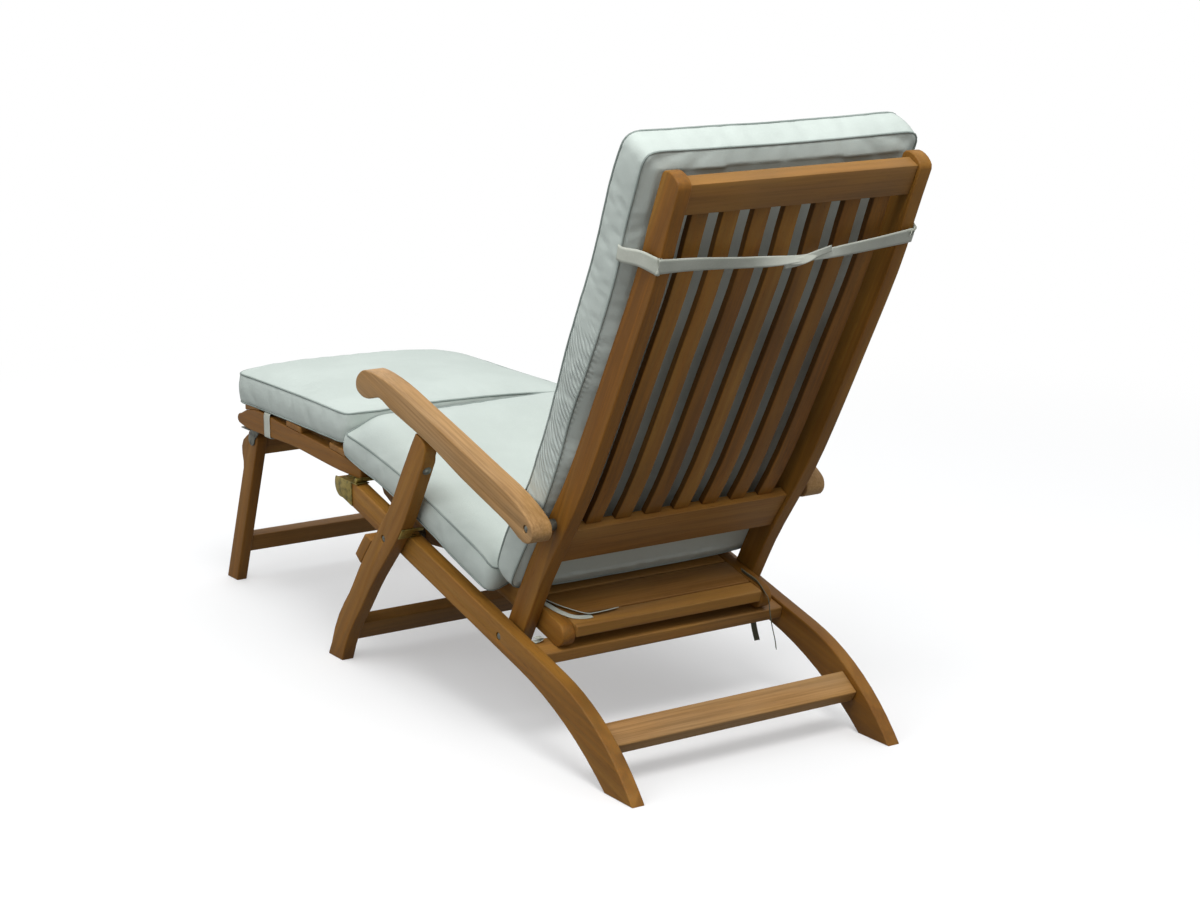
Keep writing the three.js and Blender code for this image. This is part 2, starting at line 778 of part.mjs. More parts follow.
// Bracket under the rail's front end, with the pin of the folding leg
function footrestBracket() {
  const flangeFront = footLegReach - bracketEyeRadius / 2;
  const flangeRear = flangeFront - bracketLength;
  const railUnders = spread(flangeRear, flangeFront, 4).map((along) => footrestBar.under(along, fit));
  const top = Math.min(...railUnders);
  const inner = footLegOuter + 2 * fit;
  const plate = footrestFrame.place([
    [flangeRear, top],
    [flangeRear, top - 2 * bracketThickness],
    ...arc([footLegReach, -footLegDrop], bracketEyeRadius, 180, 390, 10),
    [flangeFront, top],
  ]);
  const flange = footrestFrame.place([
    [flangeRear, top],
    [flangeRear, top - bracketThickness],
    [flangeFront, top - bracketThickness],
    [flangeFront, top],
  ]);
  return join(
    across(plate, inner, inner + bracketThickness, 0),
    across(flange, inner, footrestOuter - fit, 0),
    peg(footLegPivot, footLegInner + fit, inner + bracketThickness / 2, boltRadius),
  );
}

// Footrest legs: straight, with a round top about the pin and a small bump in front
function footrestLeg() {
  const half = footLegDepth / 2;
  const bumpShares = [[0, 0], [0.12, 0.4], [0.3, 0.9], [0.5, 1], [0.68, 0.7], [0.85, 0.2], [1, 0]];
  const bump = bumpShares.map(([along, rise]) => [along * footLegBumpLength, -half - rise * footLegBump]);
  const length = footLegPivot.y / Math.sin(THREE.MathUtils.degToRad(footLegAngle)) + footLegDepth;
  const outline = footLegFrame.place([
    ...arc([0, 0], half, 90, 255, 9),
    ...bump,
    [length, -half],
    [length, half],
  ]);
  const board = across(trimAtFloor(outline), footLegInner, footLegOuter);
  return cut(board, peg(footLegPivot, footLegInner - overrun, footLegOuter + overrun, boltHole));
}

function footrestLegBoard(middle, width, thickness) {
  const half = thickness / 2;
  const outline = boardOutline(footLegFrame, middle - width / 2, middle + width / 2, -half, half);
  return across(outline, -footLegInner + fit, footLegInner - fit);
}

function footTopRail() {
  return footrestLegBoard(footTopRailShift, footTopRailWidth, footTopRailThickness);
}

function footStretcher() {
  return footrestLegBoard(footStretcherReach, footStretcherWidth, footStretcherThickness);
}

// Cushion: crowned faces, sides drawn in between the corners and a bulging border.
// bottomAt and seamAt give its rest and its upper seam along the frame.
const easedGrid = (i, count) => Math.sin((Math.PI / 2) * ((2 * i) / count - 1));

function cushion({ frame, start, end, bottomAt, seamAt, halfWidthAt, crown, lowSeamShare, lean, rows }) {
  const columns = 12;
  const middle = (start + end) / 2;
  const halfLength = (end - start) / 2;
  const positions = [];
  const spot = (a, b, level, bulge) => {
    const atSide = Math.abs(a) === 1;
    const atEnd = Math.abs(b) === 1;
    const along = middle + b * (halfLength - cushionDrawIn * (1 - a ** 2));
    const rise = ((1 - a ** 4) * (1 - b ** 4)) ** 0.6;
    const bottom = bottomAt(along);
    const seam = seamAt(along);
    const low = bottom + (atSide || atEnd ? lowSeamShare * (seam - bottom) : 0);
    const halfWidth = halfWidthAt(along) - cushionBulge - cushionDrawIn * (1 - b ** 2);
    const x = a * halfWidth + (atSide ? a * bulge : 0);
    const stretch = (atEnd ? b * bulge : 0) - lean * level * ((1 - b) / 2) ** 2;
    const side = frame.at(along + stretch, THREE.MathUtils.lerp(low, seam + crown * rise, level));
    positions.push(x, side.x, side.y);
    return positions.length / 3 - 1;
  };
  const belt = (i, j, level, bulge) => spot(easedGrid(i, columns), easedGrid(j, rows), level, bulge);
  const grid = (level) => spread(0, rows, rows).map(
    (j) => spread(0, columns, columns).map((i) => belt(i, j, level, 0)),
  );
  const rim = [
    ...spread(0, columns - 1, columns - 1).map((i) => [i, 0]),
    ...spread(0, rows - 1, rows - 1).map((j) => [columns, j]),
    ...spread(columns, 1, columns - 1).map((i) => [i, rows]),
    ...spread(rows, 1, rows - 1).map((j) => [0, j]),
  ];
  const top = grid(1);
  const low = grid(0);
  const middleBelt = rim.map(([i, j]) => belt(i, j, 0.5, cushionBulge));
  const index = [];
  for (let j = 0; j < rows; j += 1) {
    for (let i = 0; i < columns; i += 1) {
      index.push(top[j][i], top[j + 1][i], top[j][i + 1], top[j][i + 1], top[j + 1][i], top[j + 1][i + 1]);
      index.push(low[j][i], low[j][i + 1], low[j + 1][i], low[j][i + 1], low[j + 1][i + 1], low[j + 1][i]);
    }
  }
  rim.forEach(([i, j], k) => {
    const next = (k + 1) % rim.length;
    const [ni, nj] = rim[next];
    const [here, there] = [middleBelt[k], middleBelt[next]];
    index.push(here, top[j][i], there, there, top[j][i], top[nj][ni]);
    index.push(low[j][i], here, low[nj][ni], low[nj][ni], here, there);
  });
  if (frame.along.cross(frame.up) > 0) {
    index.reverse();
  }
  const geometry = new THREE.BufferGeometry();
  geometry.setAttribute('position', new THREE.Float32BufferAttribute(positions, 3));
  geometry.setIndex(index);
  return geometry;
}

function shareCurve(table, start, end, size) {
  const places = table.map(([place]) => THREE.MathUtils.lerp(start, end, place));
  const values = table.map(([, value]) => value * size);
  return (along) => smoothAt(places, values, along);
}

// The seat cushion is thinner towards the knee, where the foot cushion leans over it
const seatSeamShares = [
  [0, 0.6], [0.12, 0.79], [0.26, 0.95], [0.4, 1.03], [0.85, 1], [0.96, 0.96], [1, 0.82],
];

function seatCushion() {
  const bottom = seatRise + fit;
  const thickness = shareCurve(seatSeamShares, -seatCushionFront, seatCushionRear, seatCushionThickness);
  return cushion({
    frame: seatFrame,
    start: -seatCushionFront,
    end: seatCushionRear,
    bottomAt: () => bottom,
    seamAt: (along) => bottom + thickness(along),
    halfWidthAt: () => seatCushionHalfWidth,
    crown: seatCushionCrown,
    lowSeamShare: 0,
    lean: 0,
    rows: 14,
  });
}

// The back cushion follows the stiles and narrows where it passes the arms
const backRearShares = [
  [0, 1], [0.046, 0.99], [0.099, 0.85], [0.141, 0.68], [0.261, 0.18], [0.389, -0.32], [0.609, -0.42],
  [0.676, -0.2], [0.757, 0.23], [0.828, 0.41], [0.909, 0.73], [1, 1],
];
const backSeamShares = [
  [0, 0.88], [0.046, 0.88], [0.122, 0.88], [0.23, 0.775], [0.368, 0.776], [0.452, 0.803], [0.54, 0.847],
  [0.618, 0.86], [0.72, 0.845], [0.782, 0.882], [0.846, 0.97], [0.898, 1], [0.943, 1], [1, 0.97],
];
const backWidthShares = [[0, 0.97], [0.332, 0.965], [0.571, 0.985], [1, 1]];
const backCushionSpan = [backCushionStart, backCushionEnd];
const backHollow = shareCurve(backRearShares, ...backCushionSpan, backCushionStandoff);

function backCushionRear(along) {
  return Math.max(backHollow(along), stile.top(along, fit));
}

function backCushion() {
  const wide = shareCurve(backWidthShares, ...backCushionSpan, backCushionHalfWidth);
  const clear = armInner - backCushionArmGap;
  const beside = armPivotReach + armRise * 2;
  return cushion({
    frame: backFrame,
    start: backCushionStart,
    end: backCushionEnd,
    bottomAt: backCushionRear,
    seamAt: shareCurve(backSeamShares, ...backCushionSpan, backCushionThickness),
    halfWidthAt: (along) => (along < beside ? Math.min(wide(along), clear) : wide(along)),
    crown: backCushionCrown,
    lowSeamShare: 0.2,
    lean: 0,
    rows: 18,
  });
}

// The foot cushion rests on the highest part of the slats within one row of its grid
function footCushion() {
  const rows = 14;
  const row = (footCushionEnd - footCushionStart) / rows;
  const slatTop = (place) => footrestBar.top(place, footrestSlatThickness + 2 * fit);
  return cushion({
    frame: footrestFrame,
    start: footCushionStart,
    end: footCushionEnd,
    bottomAt: (along) => Math.max(...spread(along - row, along + row, 6).map(slatTop)),
    seamAt: () => footCushionTop,
    halfWidthAt: () => footCushionHalfWidth,
    crown: footCushionCrown,
    lowSeamShare: 0,
    lean: footCushionLean,
    rows,
  });
}

// Strap from the cushion's rear edges round the stiles, with its knot behind the slats
function backStrap() {
  const covered = spread(strapReach - strapWidth / 2, strapReach + strapWidth / 2, 4);
  const rear = Math.min(...covered.map((along) => stile.under(along, strapGap)));
  const cushionRear = Math.min(...covered.map(backCushionRear)) - strapGap;
  const cushionSide = backCushionHalfWidth - cushionBulge - cushionDrawIn;
  const stileSide = stileOuter + strapGap;
  const band = new THREE.ExtrudeGeometry(new THREE.Shape([
    new THREE.Vector2(cushionSide, -cushionRear),
    new THREE.Vector2(stileSide, -rear),
    new THREE.Vector2(-stileSide, -rear),
    new THREE.Vector2(-cushionSide, -cushionRear),
    new THREE.Vector2(-cushionSide - strapThickness, -cushionRear),
    new THREE.Vector2(-stileSide - strapThickness, -rear + strapThickness),
    new THREE.Vector2(stileSide + strapThickness, -rear + strapThickness),
    new THREE.Vector2(cushionSide + strapThickness, -cushionRear),
  ]), { depth: strapWidth, bevelEnabled: false });
  const knot = new THREE.SphereGeometry(1, 12, 8);
  knot.scale(knotLength / 2, knotDepth / 2, strapWidth / 2);
  knot.translate(knotPlace, -rear + knotDepth / 2 - strapThickness / 2, strapWidth / 2);
  const strap = join(band, knot);
  const start = backFrame.at(strapReach - strapWidth / 2, 0);
  const upright = new THREE.Matrix4().makeBasis(
    new THREE.Vector3(1, 0, 0),
    new THREE.Vector3(0, -backFrame.up.x, -backFrame.up.y),
    new THREE.Vector3(0, backFrame.along.x, backFrame.along.y),
  );
  strap.applyMatrix4(upright);
  strap.translate(0, start.x, start.y);
  return strap;
}

addPair('main_rail', mainRail(), wood);
add('seat_cross_rail', seatCrossRail(), wood);
add('rear_stretcher', rearStretcher(), wood);
addPair('seat_rail', seatRail(), wood);
seatSlats().forEach((slat, i) => add(`seat_slat_${i + 1}`, slat, wood));
addPair('knee_shoe', kneeShoe(), brass);
addPair('leg_bolt', legBolt(), steel);
addPair('back_bolt', stileBolt(backPivot, railInner, railOuter), steel);
add('seat_cushion', seatCushion(), cloth);

addPair('back_stile', backStile(), wood);
add('back_top_rail', backCrossRail(topRailStart, topRailWidth, topRailThickness, topRailSetback), wood);
add('back_lower_rail', backLowerRail(), wood);
backSlats().forEach((slat, i) => add(`back_slat_${i + 1}`, slat, wood));
add('back_cushion', backCushion(), cloth);
add('back_strap', backStrap(), webbing);
addPair('arm_bolt', stileBolt(armPivot, armInner, legOuter), steel);

addPair('arm', arm(), wood);

addPair('front_leg', frontLeg(), wood);
add('front_leg_stretcher', legStretcher(), wood);
addPair('stop_block', stopBlock(), wood);
addPair('rail_catch', railCatch(), brass);

addPair('footrest_rail', footrestRail(), wood);
footrestSlats().forEach((slat, i) => add(`footrest_slat_${i + 1}`, slat, wood));
addPair('knee_leaf', kneeLeaf(), brass);
addPair('footrest_bracket', footrestBracket(), steel);
add('foot_cushion', footCushion(), cloth);

addPair('footrest_leg', footrestLeg(), wood);
add('footrest_leg_top_rail', footTopRail(), wood);
add('footrest_leg_stretcher', footStretcher(), wood);

// The chair's length is centred on the origin
const size = new THREE.Box3().setFromObject(chair);
chair.position.y = -(size.min.y + size.max.y) / 2;

export default chair;
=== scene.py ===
import json
import math

import bmesh
import bpy
import numpy as np
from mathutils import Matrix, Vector, noise


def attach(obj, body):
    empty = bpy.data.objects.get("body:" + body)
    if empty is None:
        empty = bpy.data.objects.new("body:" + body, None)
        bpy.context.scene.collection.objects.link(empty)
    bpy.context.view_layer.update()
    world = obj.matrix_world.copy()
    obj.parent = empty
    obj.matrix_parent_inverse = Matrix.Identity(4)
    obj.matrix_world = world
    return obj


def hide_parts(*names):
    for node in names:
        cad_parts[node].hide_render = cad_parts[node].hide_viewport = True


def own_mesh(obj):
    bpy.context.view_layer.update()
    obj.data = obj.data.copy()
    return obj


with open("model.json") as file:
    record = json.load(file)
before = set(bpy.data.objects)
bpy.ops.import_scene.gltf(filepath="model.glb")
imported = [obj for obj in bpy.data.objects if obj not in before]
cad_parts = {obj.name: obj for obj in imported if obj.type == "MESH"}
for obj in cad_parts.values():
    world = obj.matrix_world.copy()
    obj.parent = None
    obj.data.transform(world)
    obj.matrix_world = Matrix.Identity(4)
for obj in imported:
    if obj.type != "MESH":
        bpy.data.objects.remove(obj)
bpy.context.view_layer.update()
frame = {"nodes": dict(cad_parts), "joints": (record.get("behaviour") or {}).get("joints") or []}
joints = {joint["name"]: joint for joint in frame["joints"]}
print("frame loaded:", len(frame["nodes"]), "nodes")


# Shader maths as plain expressions: one wire is the output of a node
class Wire:
    def __init__(self, finish, socket):
        self.finish = finish
        self.socket = socket

    def maths(self, operation, *values):
        plain = all(not isinstance(value, Wire) or value.socket.type == "VALUE" for value in values)
        kind = "Math" if plain else "VectorMath"
        return self.finish.node(kind, {"operation": operation}, dict(enumerate(values)))

    def __add__(self, other): return self.maths("ADD", self, other)
    def __radd__(self, other): return self.maths("ADD", other, self)
    def __sub__(self, other): return self.maths("SUBTRACT", self, other)
    def __rsub__(self, other): return self.maths("SUBTRACT", other, self)
    def __mul__(self, other): return self.maths("MULTIPLY", self, other)
    def __rmul__(self, other): return self.maths("MULTIPLY", other, self)
    def sin(self): return self.maths("SINE", self)

    def dot(self, vector):
        return self.finish.node("VectorMath", {"operation": "DOT_PRODUCT"}, {0: self, 1: vector}, out="Value")


# A material under construction
class Finish:
    def __init__(self, name, tree=None):
        if tree is None:
            self.material = bpy.data.materials.new(name)
            self.material.use_nodes = True
            tree = self.material.node_tree
        self.tree = tree
        self.tree.nodes.clear()

    def plug(self, target, value):
        if isinstance(value, Wire):
            self.tree.links.new(value.socket, target)
        elif target.type == "RGBA":
            target.default_value = (*value, 1.0)
        elif target.type == "VECTOR" and isinstance(value, (int, float)):
            target.default_value = [value] * 3
        else:
            target.default_value = value

    # One way to make any node: settings first, then the values or links of its sockets
    def node(self, kind, settings=None, sockets=None, out=0):
        made = self.tree.nodes.new("ShaderNode" + kind)
        for key, value in (settings or {}).items():
            setattr(made, key, value)
        for key, value in (sockets or {}).items():
            self.plug(made.inputs[key], value)
        return Wire(self, made.outputs[out]) if made.outputs else None

    def mix(self, share, first, second):
        return self.node("Mix", {"data_type": "RGBA"}, {0: share, 6: first, 7: second}, out=2)

    def noise(self, vector, scale, detail=2.0, rough=0.5, distort=0.0):
        return self.node("TexNoise", {}, {
            "Vector": vector, "Scale": scale, "Detail": detail, "Roughness": rough, "Distortion": distort})

    def joined(self, x, y, z):
        return self.node("CombineXYZ", {}, {"X": x, "Y": y, "Z": z})

    # Smooth step from one value to another
    def fade(self, value, low, high):
        return self.node("MapRange", {"interpolation_type": "SMOOTHSTEP"}, {
            "Value": value, "From Min": low, "From Max": high})

    def bump(self, height, distance, strength=1.0, under=None):
        sockets = {"Height": height, "Distance": distance, "Strength": strength}
        if under is not None:
            sockets["Normal"] = under
        return self.node("Bump", {}, sockets)

    def surface(self, sockets):
        shader = self.node("BsdfPrincipled", {}, sockets)
        self.node("OutputMaterial", {}, {"Surface": shader})
        return self.material


# Colour from the usual levels of 0 to 255
def srgb(*levels):
    shares = [level / 255 for level in levels]
    return tuple(share / 12.92 if share <= 0.04045 else ((share + 0.055) / 1.055) ** 2.4 for share in shares)


# The side plane's frames, as in the part's source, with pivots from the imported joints
class SideFrame:
    def __init__(self, origin, degrees, turn=1):
        angle = math.radians(degrees)
        self.origin = Vector((0.0, *origin))
        self.along = Vector((0.0, math.cos(angle), math.sin(angle)))
        self.up = Vector((0.0, -math.sin(angle), math.cos(angle))) * turn

    def at(self, x, along, up):
        return self.origin + Vector((x, 0.0, 0.0)) + self.along * along + self.up * up

    def read(self, place):
        local = place - self.origin
        return local.x, local.dot(self.along), local.dot(self.up)


def pivot(joint):
    return joints[joint]["pos_m"][1:]


# Slopes in degrees
slopes = {"seat": -15.0, "back": 62.0, "arm": 162.8, "leg": 54.6, "footrest": 180.0, "footrestLeg": 249.7}
seatFrame = SideFrame(pivot("front_leg_fold"), slopes["seat"])
backFrame = SideFrame(pivot("back_fold"), slopes["back"])
legFrame = SideFrame(pivot("front_leg_fold"), slopes["leg"])
footrestFrame = SideFrame(pivot("footrest_fold"), slopes["footrest"], -1)


# Smooth value between stations, each a place and its values
def smoothAt(table, place, column=1):
    places = [station[0] for station in table]
    values = [station[column] for station in table]
    last = len(places) - 1
    after = next((i for i, p in enumerate(places) if p > place), last)
    index = max(after, 1) - 1

    def slope(i):
        low, high = max(i - 1, 0), min(i + 1, last)
        return (values[high] - values[low]) / (places[high] - places[low])

    span = places[index + 1] - places[index]
    t = min(max((place - places[index]) / span, 0.0), 1.0)
    rise = values[index + 1] - values[index]
    m0, m1 = slope(index) * span, slope(index + 1) * span
    return values[index] + m0 * t + (3 * rise - 2 * m0 - m1) * t ** 2 + (m0 + m1 - 2 * rise) * t ** 3


# Share of the way from low to high, with soft ends
def smooth(value, low, high):
    t = min(max((value - low) / (high - low), 0.0), 1.0)
    return t * t * (3 - 2 * t)


# Camera at the photograph's angle
shot = {"place": (2.416, 3.8987, 1.481), "turn": (76.71, 0.0, 146.57), "lens": 77.1, "sensor": 36.0}
cameraData = bpy.data.cameras.new("shot")
cameraData.lens = shot["lens"]
cameraData.sensor_width = shot["sensor"]
camera = bpy.data.objects.new("shot", cameraData)
camera.location = shot["place"]
camera.rotation_euler = [math.radians(angle) for angle in shot["turn"]]
bpy.context.scene.collection.objects.link(camera)
bpy.context.scene.camera = camera
bpy.context.scene.view_settings.view_transform = "Standard"


# Mesh helpers
def meshPiece(name, points, faces, materials=(), faceSlots=None):
    mesh = bpy.data.meshes.new(name)
    mesh.from_pydata([tuple(p) for p in points], [], faces)
    mesh.update()
    piece = bpy.data.objects.new(name, mesh)
    bpy.context.scene.collection.objects.link(piece)
    for material in materials:
        mesh.materials.append(material)
    for face in mesh.polygons:
        face.use_smooth = True
        if faceSlots is not None:
            face.material_index = faceSlots[face.index]
    return piece


def turnOutwards(piece):
    shape = bmesh.new()
    shape.from_mesh(piece.data)
    bmesh.ops.recalc_face_normals(shape, faces=shape.faces)
    shape.to_mesh(piece.data)
    shape.free()


# Faces between rings of points, open or closed to a loop
def ringFaces(rings, sides, closed=False):
    faces = []
    for i in range(rings if closed else rings - 1):
        for k in range(sides):
            j, m = (i + 1) % rings, (k + 1) % sides
            faces.append((i * sides + k, i * sides + m, j * sides + m, j * sides + k))
    return faces


# Points and faces of a round tube along a closed path
def tube(path, radius, sides=8):
    sideways = Vector((0.21, 0.35, 0.91))  # along none of the seams
    points = []
    for i, spot in enumerate(path):
        tangent = (path[(i + 1) % len(path)] - path[i - 1]).normalized()
        side = tangent.cross(sideways).normalized()
        lift = side.cross(tangent)
        for k in range(sides):
            angle = 2 * math.pi * k / sides
            points.append(spot + side * math.cos(angle) * radius + lift * math.sin(angle) * radius)
    return points, ringFaces(len(path), sides, True)


# Smooth path through spots
def through(spots, steps):
    path = []
    last = len(spots) - 1
    for i in range(last):
        p0, p1 = spots[max(i - 1, 0)], spots[i]
        p2, p3 = spots[i + 1], spots[min(i + 2, last)]
        for k in range(steps):
            t = k / steps
            path.append(0.5 * (2 * p1 + (p2 - p0) * t + (2 * p0 - 5 * p1 + 4 * p2 - p3) * t * t
                               + (3 * p1 - p0 - 3 * p2 + p3) * t ** 3))
    path.append(spots[last].copy())
    return path


# Finishes
woodTones = {
    "heart": srgb(111, 70, 15), "pale": srgb(165, 120, 50),
    "dark": srgb(52, 29, 7), "glow": srgb(154, 98, 29), "bleached": srgb(209, 173, 124),
}
# Scales along and across the grain in turns to the metre, how a board's own shift moves them,
# the noise's detail, roughness and distortion, and where the pattern starts and is full
woodPatterns = {
    "figure": {"scale": (1.1, 14.0), "moves": (1, 1, 0), "noise": (3.0, 0.55, 0.6), "fade": (0.28, 0.76)},
    "streak": {"scale": (5.0, 260.0), "moves": (1, 0, 0), "noise": (4.0, 0.6, 0.0), "fade": (0.38, 0.66)},
    "pore": {"scale": (45.0, 1500.0), "moves": (0, 0, 0), "noise": (2.0, 0.5, 0.0), "fade": (0.6, 0.72)},
    "blotch": {"scale": (3.0, 9.0), "moves": (-1, 0, 1), "noise": (2.0, 0.5, 0.0), "fade": (0.48, 0.74)},
}
# Share and tone of each layer, the first laid first
woodLayers = {"streak": (0.5, "glow"), "rings": (0.2, "dark"), "blotch": (0.5, "dark"),
              "pore": (0.5, "dark"), "board": (0.4, "heart")}
woodGrain = {
    "shift": 7.3, "waves": 30.0, "ringPitch": 260.0, "relief": (0.0006, 0.5), "paintedShadeFade": (0.3, 0.8),
    "worn": {"blotch": (0.25, 0.7, 0.6), "streak": (0.3, 0.7, 0.4)},
}


# Oiled hardwood, with its grain along one direction of the piece, and painted shade on its sideways faces where
# asked
def oiledWood(name, along, outward, side, bleach=0.0, paintedSideShade=0.0):
    wood = Finish(name)
    place = wood.node("TexCoord", out="Object")
    board = wood.node("ObjectInfo", out="Random")
    run, deep, wide = place.dot(along), place.dot(outward), place.dot(side)
    shift = board * woodGrain["shift"]
    raw, seen = {}, {}
    for key, look in woodPatterns.items():
        long, fine = look["scale"]
        spot = [way * scale + shift * move
                for way, scale, move in zip((run, deep, wide), (long, fine, fine), look["moves"])]
        raw[key] = wood.noise(wood.joined(*spot), 1.0, *look["noise"])
        seen[key] = wood.fade(raw[key], *look["fade"])
    rings = (raw["figure"] * woodGrain["waves"] + deep * woodGrain["ringPitch"]).sin() * 0.5 + 0.5
    seen.update(rings=rings, board=wood.fade(board, 0.0, 1.0))
    tone = wood.mix(seen["figure"], woodTones["heart"], woodTones["pale"])
    for key, (share, tint) in woodLayers.items():
        tone = wood.mix(seen[key] * share, tone, woodTones[tint])
    if bleach:
        worn = sum(wood.fade(raw[key], low, high) * share
                   for key, (low, high, share) in woodGrain["worn"].items())
        tone = wood.mix(worn * bleach, tone, woodTones["bleached"])
    # Painted shade: faces that look sideways, into the gaps between the back slats, are darkened
    if paintedSideShade:
        facing = wood.node("TexCoord", out="Normal").dot(side)
        shaded = wood.fade(facing * facing, *woodGrain["paintedShadeFade"]) * paintedSideShade
        tone = wood.mix(shaded, tone, woodTones["dark"])
    height = raw["streak"] * 0.6 + rings * 0.2 - seen["pore"] * 0.5
    return wood.surface({
        "Base Color": tone, "Roughness": 0.5 + raw["streak"] * 0.14 + seen["pore"] * 0.1,
        "Normal": wood.bump(height, *woodGrain["relief"]), "Coat Weight": 0.05, "Coat Roughness": 0.4,
        "Specular IOR Level": 0.22})


def grain(angle):
    turn = math.radians(angle)
    return (0.0, math.cos(turn), math.sin(turn)), (0.0, -math.sin(turn), math.cos(turn)), (1.0, 0.0, 0.0)


acrossGrain = ((1.0, 0.0, 0.0), (0.0, 0.0, 1.0), (0.0, 1.0, 0.0))
woods = {
    "main_rail": oiledWood("rail_wood", *grain(slopes["seat"])),
    "seat_rail": oiledWood("seat_rail_wood", *grain(slopes["seat"])),
    "back_stile": oiledWood("stile_wood", *grain(slopes["back"])),
    # The back slats get painted shade on their sideways faces, in the gaps between them
    "back_slat": oiledWood("back_slat_wood", *grain(slopes["back"]), paintedSideShade=0.65),
    "arm": oiledWood("arm_wood", *grain(slopes["arm"]), bleach=0.55),
    "front_leg": oiledWood("leg_wood", *grain(slopes["leg"])),
    "stop_block": oiledWood("block_wood", *grain(slopes["leg"])),
    "footrest_rail": oiledWood("footrest_wood", *grain(slopes["footrest"])),
    "footrest_leg": oiledWood("foot_leg_wood", *grain(slopes["footrestLeg"])),
    "across": oiledWood("crosswise_wood", *acrossGrain, bleach=0.15),
    "rear_stretcher": oiledWood("stretcher_wood", *acrossGrain, bleach=0.4),
}
crossBoards = ("seat_cross_rail", "seat_slat", "back_top_rail", "back_lower_rail",
               "front_leg_stretcher", "footrest_slat", "footrest_leg_top_rail", "footrest_leg_stretcher")


# Metals
metalTones = {
    "brass": {"base": srgb(153, 135, 70), "worn": srgb(206, 192, 114), "dull": srgb(93, 85, 44),
              "rough": 0.38},
    "steel": {"base": srgb(112, 114, 106), "worn": srgb(168, 170, 160), "dull": srgb(66, 66, 60),
              "rough": 0.42},
}
metalWear = {"cloud": (90.0, 4.0, 0.6), "speck": 900.0, "dullFade": (0.4, 0.72), "wornFade": (0.62, 0.75),
             "wornShare": 0.5, "oxideFade": (0.5, 0.8), "oxideShare": 0.35, "relief": (0.0003, 0.4)}


def weatheredMetal(name, look):
    metal = Finish(name)
    place = metal.node("TexCoord", out="Object")
    cloud = metal.noise(place, *metalWear["cloud"])
    speck = metal.noise(place, metalWear["speck"])
    tone = metal.mix(metal.fade(cloud, *metalWear["dullFade"]), look["base"], look["dull"])
    worn = metal.fade(speck, *metalWear["wornFade"]) * metalWear["wornShare"]
    oxide = metal.fade(cloud, *metalWear["oxideFade"]) * metalWear["oxideShare"]
    return metal.surface({
        "Base Color": metal.mix(worn, tone, look["worn"]), "Metallic": 0.9 - oxide,
        "Roughness": look["rough"] + cloud * 0.2, "Normal": metal.bump(speck, *metalWear["relief"])})


brassFinish = weatheredMetal("weathered_brass", metalTones["brass"])
steelFinish = weatheredMetal("dull_steel", metalTones["steel"])

# Cloth: noises by scale, detail and roughness, bumps by depth and strength
clothWeave = {
    "pitch": 0.0012, "slub": (420.0, 3.0, 0.6), "soft": (9.0, 3.0), "crease": (55.0, 3.0, 0.55),
    "softFade": (0.35, 0.7), "slubFade": (0.5, 0.75), "slubShare": 0.35, "weaveShare": 0.1,
    "creaseBump": (0.0016, 0.22), "threadBump": (0.0004, 0.5),
}
clothTones = {
    "cushion": {"base": srgb(195, 204, 198), "shade": srgb(189, 198, 192), "lift": srgb(207, 214, 208)},
    "piping": {"base": srgb(160, 170, 165), "shade": srgb(138, 148, 143), "lift": srgb(176, 184, 179)},
    "tape": {"base": srgb(200, 203, 192), "shade": srgb(178, 182, 170), "lift": srgb(220, 222, 212)},
    "tie": {"base": srgb(126, 126, 108), "shade": srgb(98, 98, 82), "lift": srgb(150, 150, 132)},
}


# Plain woven cloth, with its threads along one side frame, and with gathers and their painted shade where they
# are given
def wovenCloth(name, look, side, gathers=None):
    cloth = Finish(name)
    place = cloth.node("TexCoord", out="Object")
    run, deep, wide = place.dot(side.along), place.dot(side.up), place.dot((1.0, 0.0, 0.0))
    pitch = 2 * math.pi / clothWeave["pitch"]
    weft = (run * pitch).sin() * (wide * pitch).sin()
    warp = (deep * pitch).sin() * ((run + wide) * pitch).sin()
    weave = (weft + warp) * 0.25 + 0.5
    slub = cloth.noise(place, *clothWeave["slub"])
    soft = cloth.noise(place, *clothWeave["soft"])
    tone = cloth.mix(cloth.fade(soft, *clothWeave["softFade"]), look["shade"], look["base"])
    tone = cloth.mix(cloth.fade(slub, *clothWeave["slubFade"]) * clothWeave["slubShare"], tone, look["lift"])
    tone = cloth.mix(weave * clothWeave["weaveShare"], tone, look["shade"])
    crease = cloth.bump(cloth.noise(place, *clothWeave["crease"]), *clothWeave["creaseBump"])
    if gathers:
        reach = run - side.origin.dot(side.along)
        rise = deep - side.origin.dot(side.up)
        waver = cloth.noise(place, gathers["waver"]) * gathers["waverReach"]
        fold = (reach - rise * gathers["slant"]) * (2 * math.pi / gathers["pitch"])
        fold = (fold + waver).sin() * 0.5 + 0.5
        starting = cloth.fade(reach, gathers["from"], gathers["full"])
        ending = cloth.fade(reach, gathers["fading"], gathers["to"])
        patchy = cloth.fade(cloth.noise(place, *gathers["patch"]), *gathers["patchFade"])
        fold = fold * (starting - ending) * cloth.fade(wide, *gathers["beyond"]) * patchy
        # Painted shade along the pucker folds
        tone = cloth.mix(fold * gathers["shade"], tone, look["shade"])
        crease = cloth.bump(fold, gathers["depth"], 1.0, crease)
    return cloth.surface({
        "Base Color": tone, "Roughness": 0.86 + slub * 0.08, "Sheen Weight": 0.03, "Sheen Roughness": 0.5,
        "Specular IOR Level": 0.08,
        "Normal": cloth.bump(weave * 0.6 + slub * 0.4, *clothWeave["threadBump"], crease)})


pipingFinish = wovenCloth("cushion_piping", clothTones["piping"], seatFrame)
tapeFinish = wovenCloth("woven_tape", clothTones["tape"], backFrame)
tieFinish = wovenCloth("faded_tie", clothTones["tie"], seatFrame)
print("finishes made")


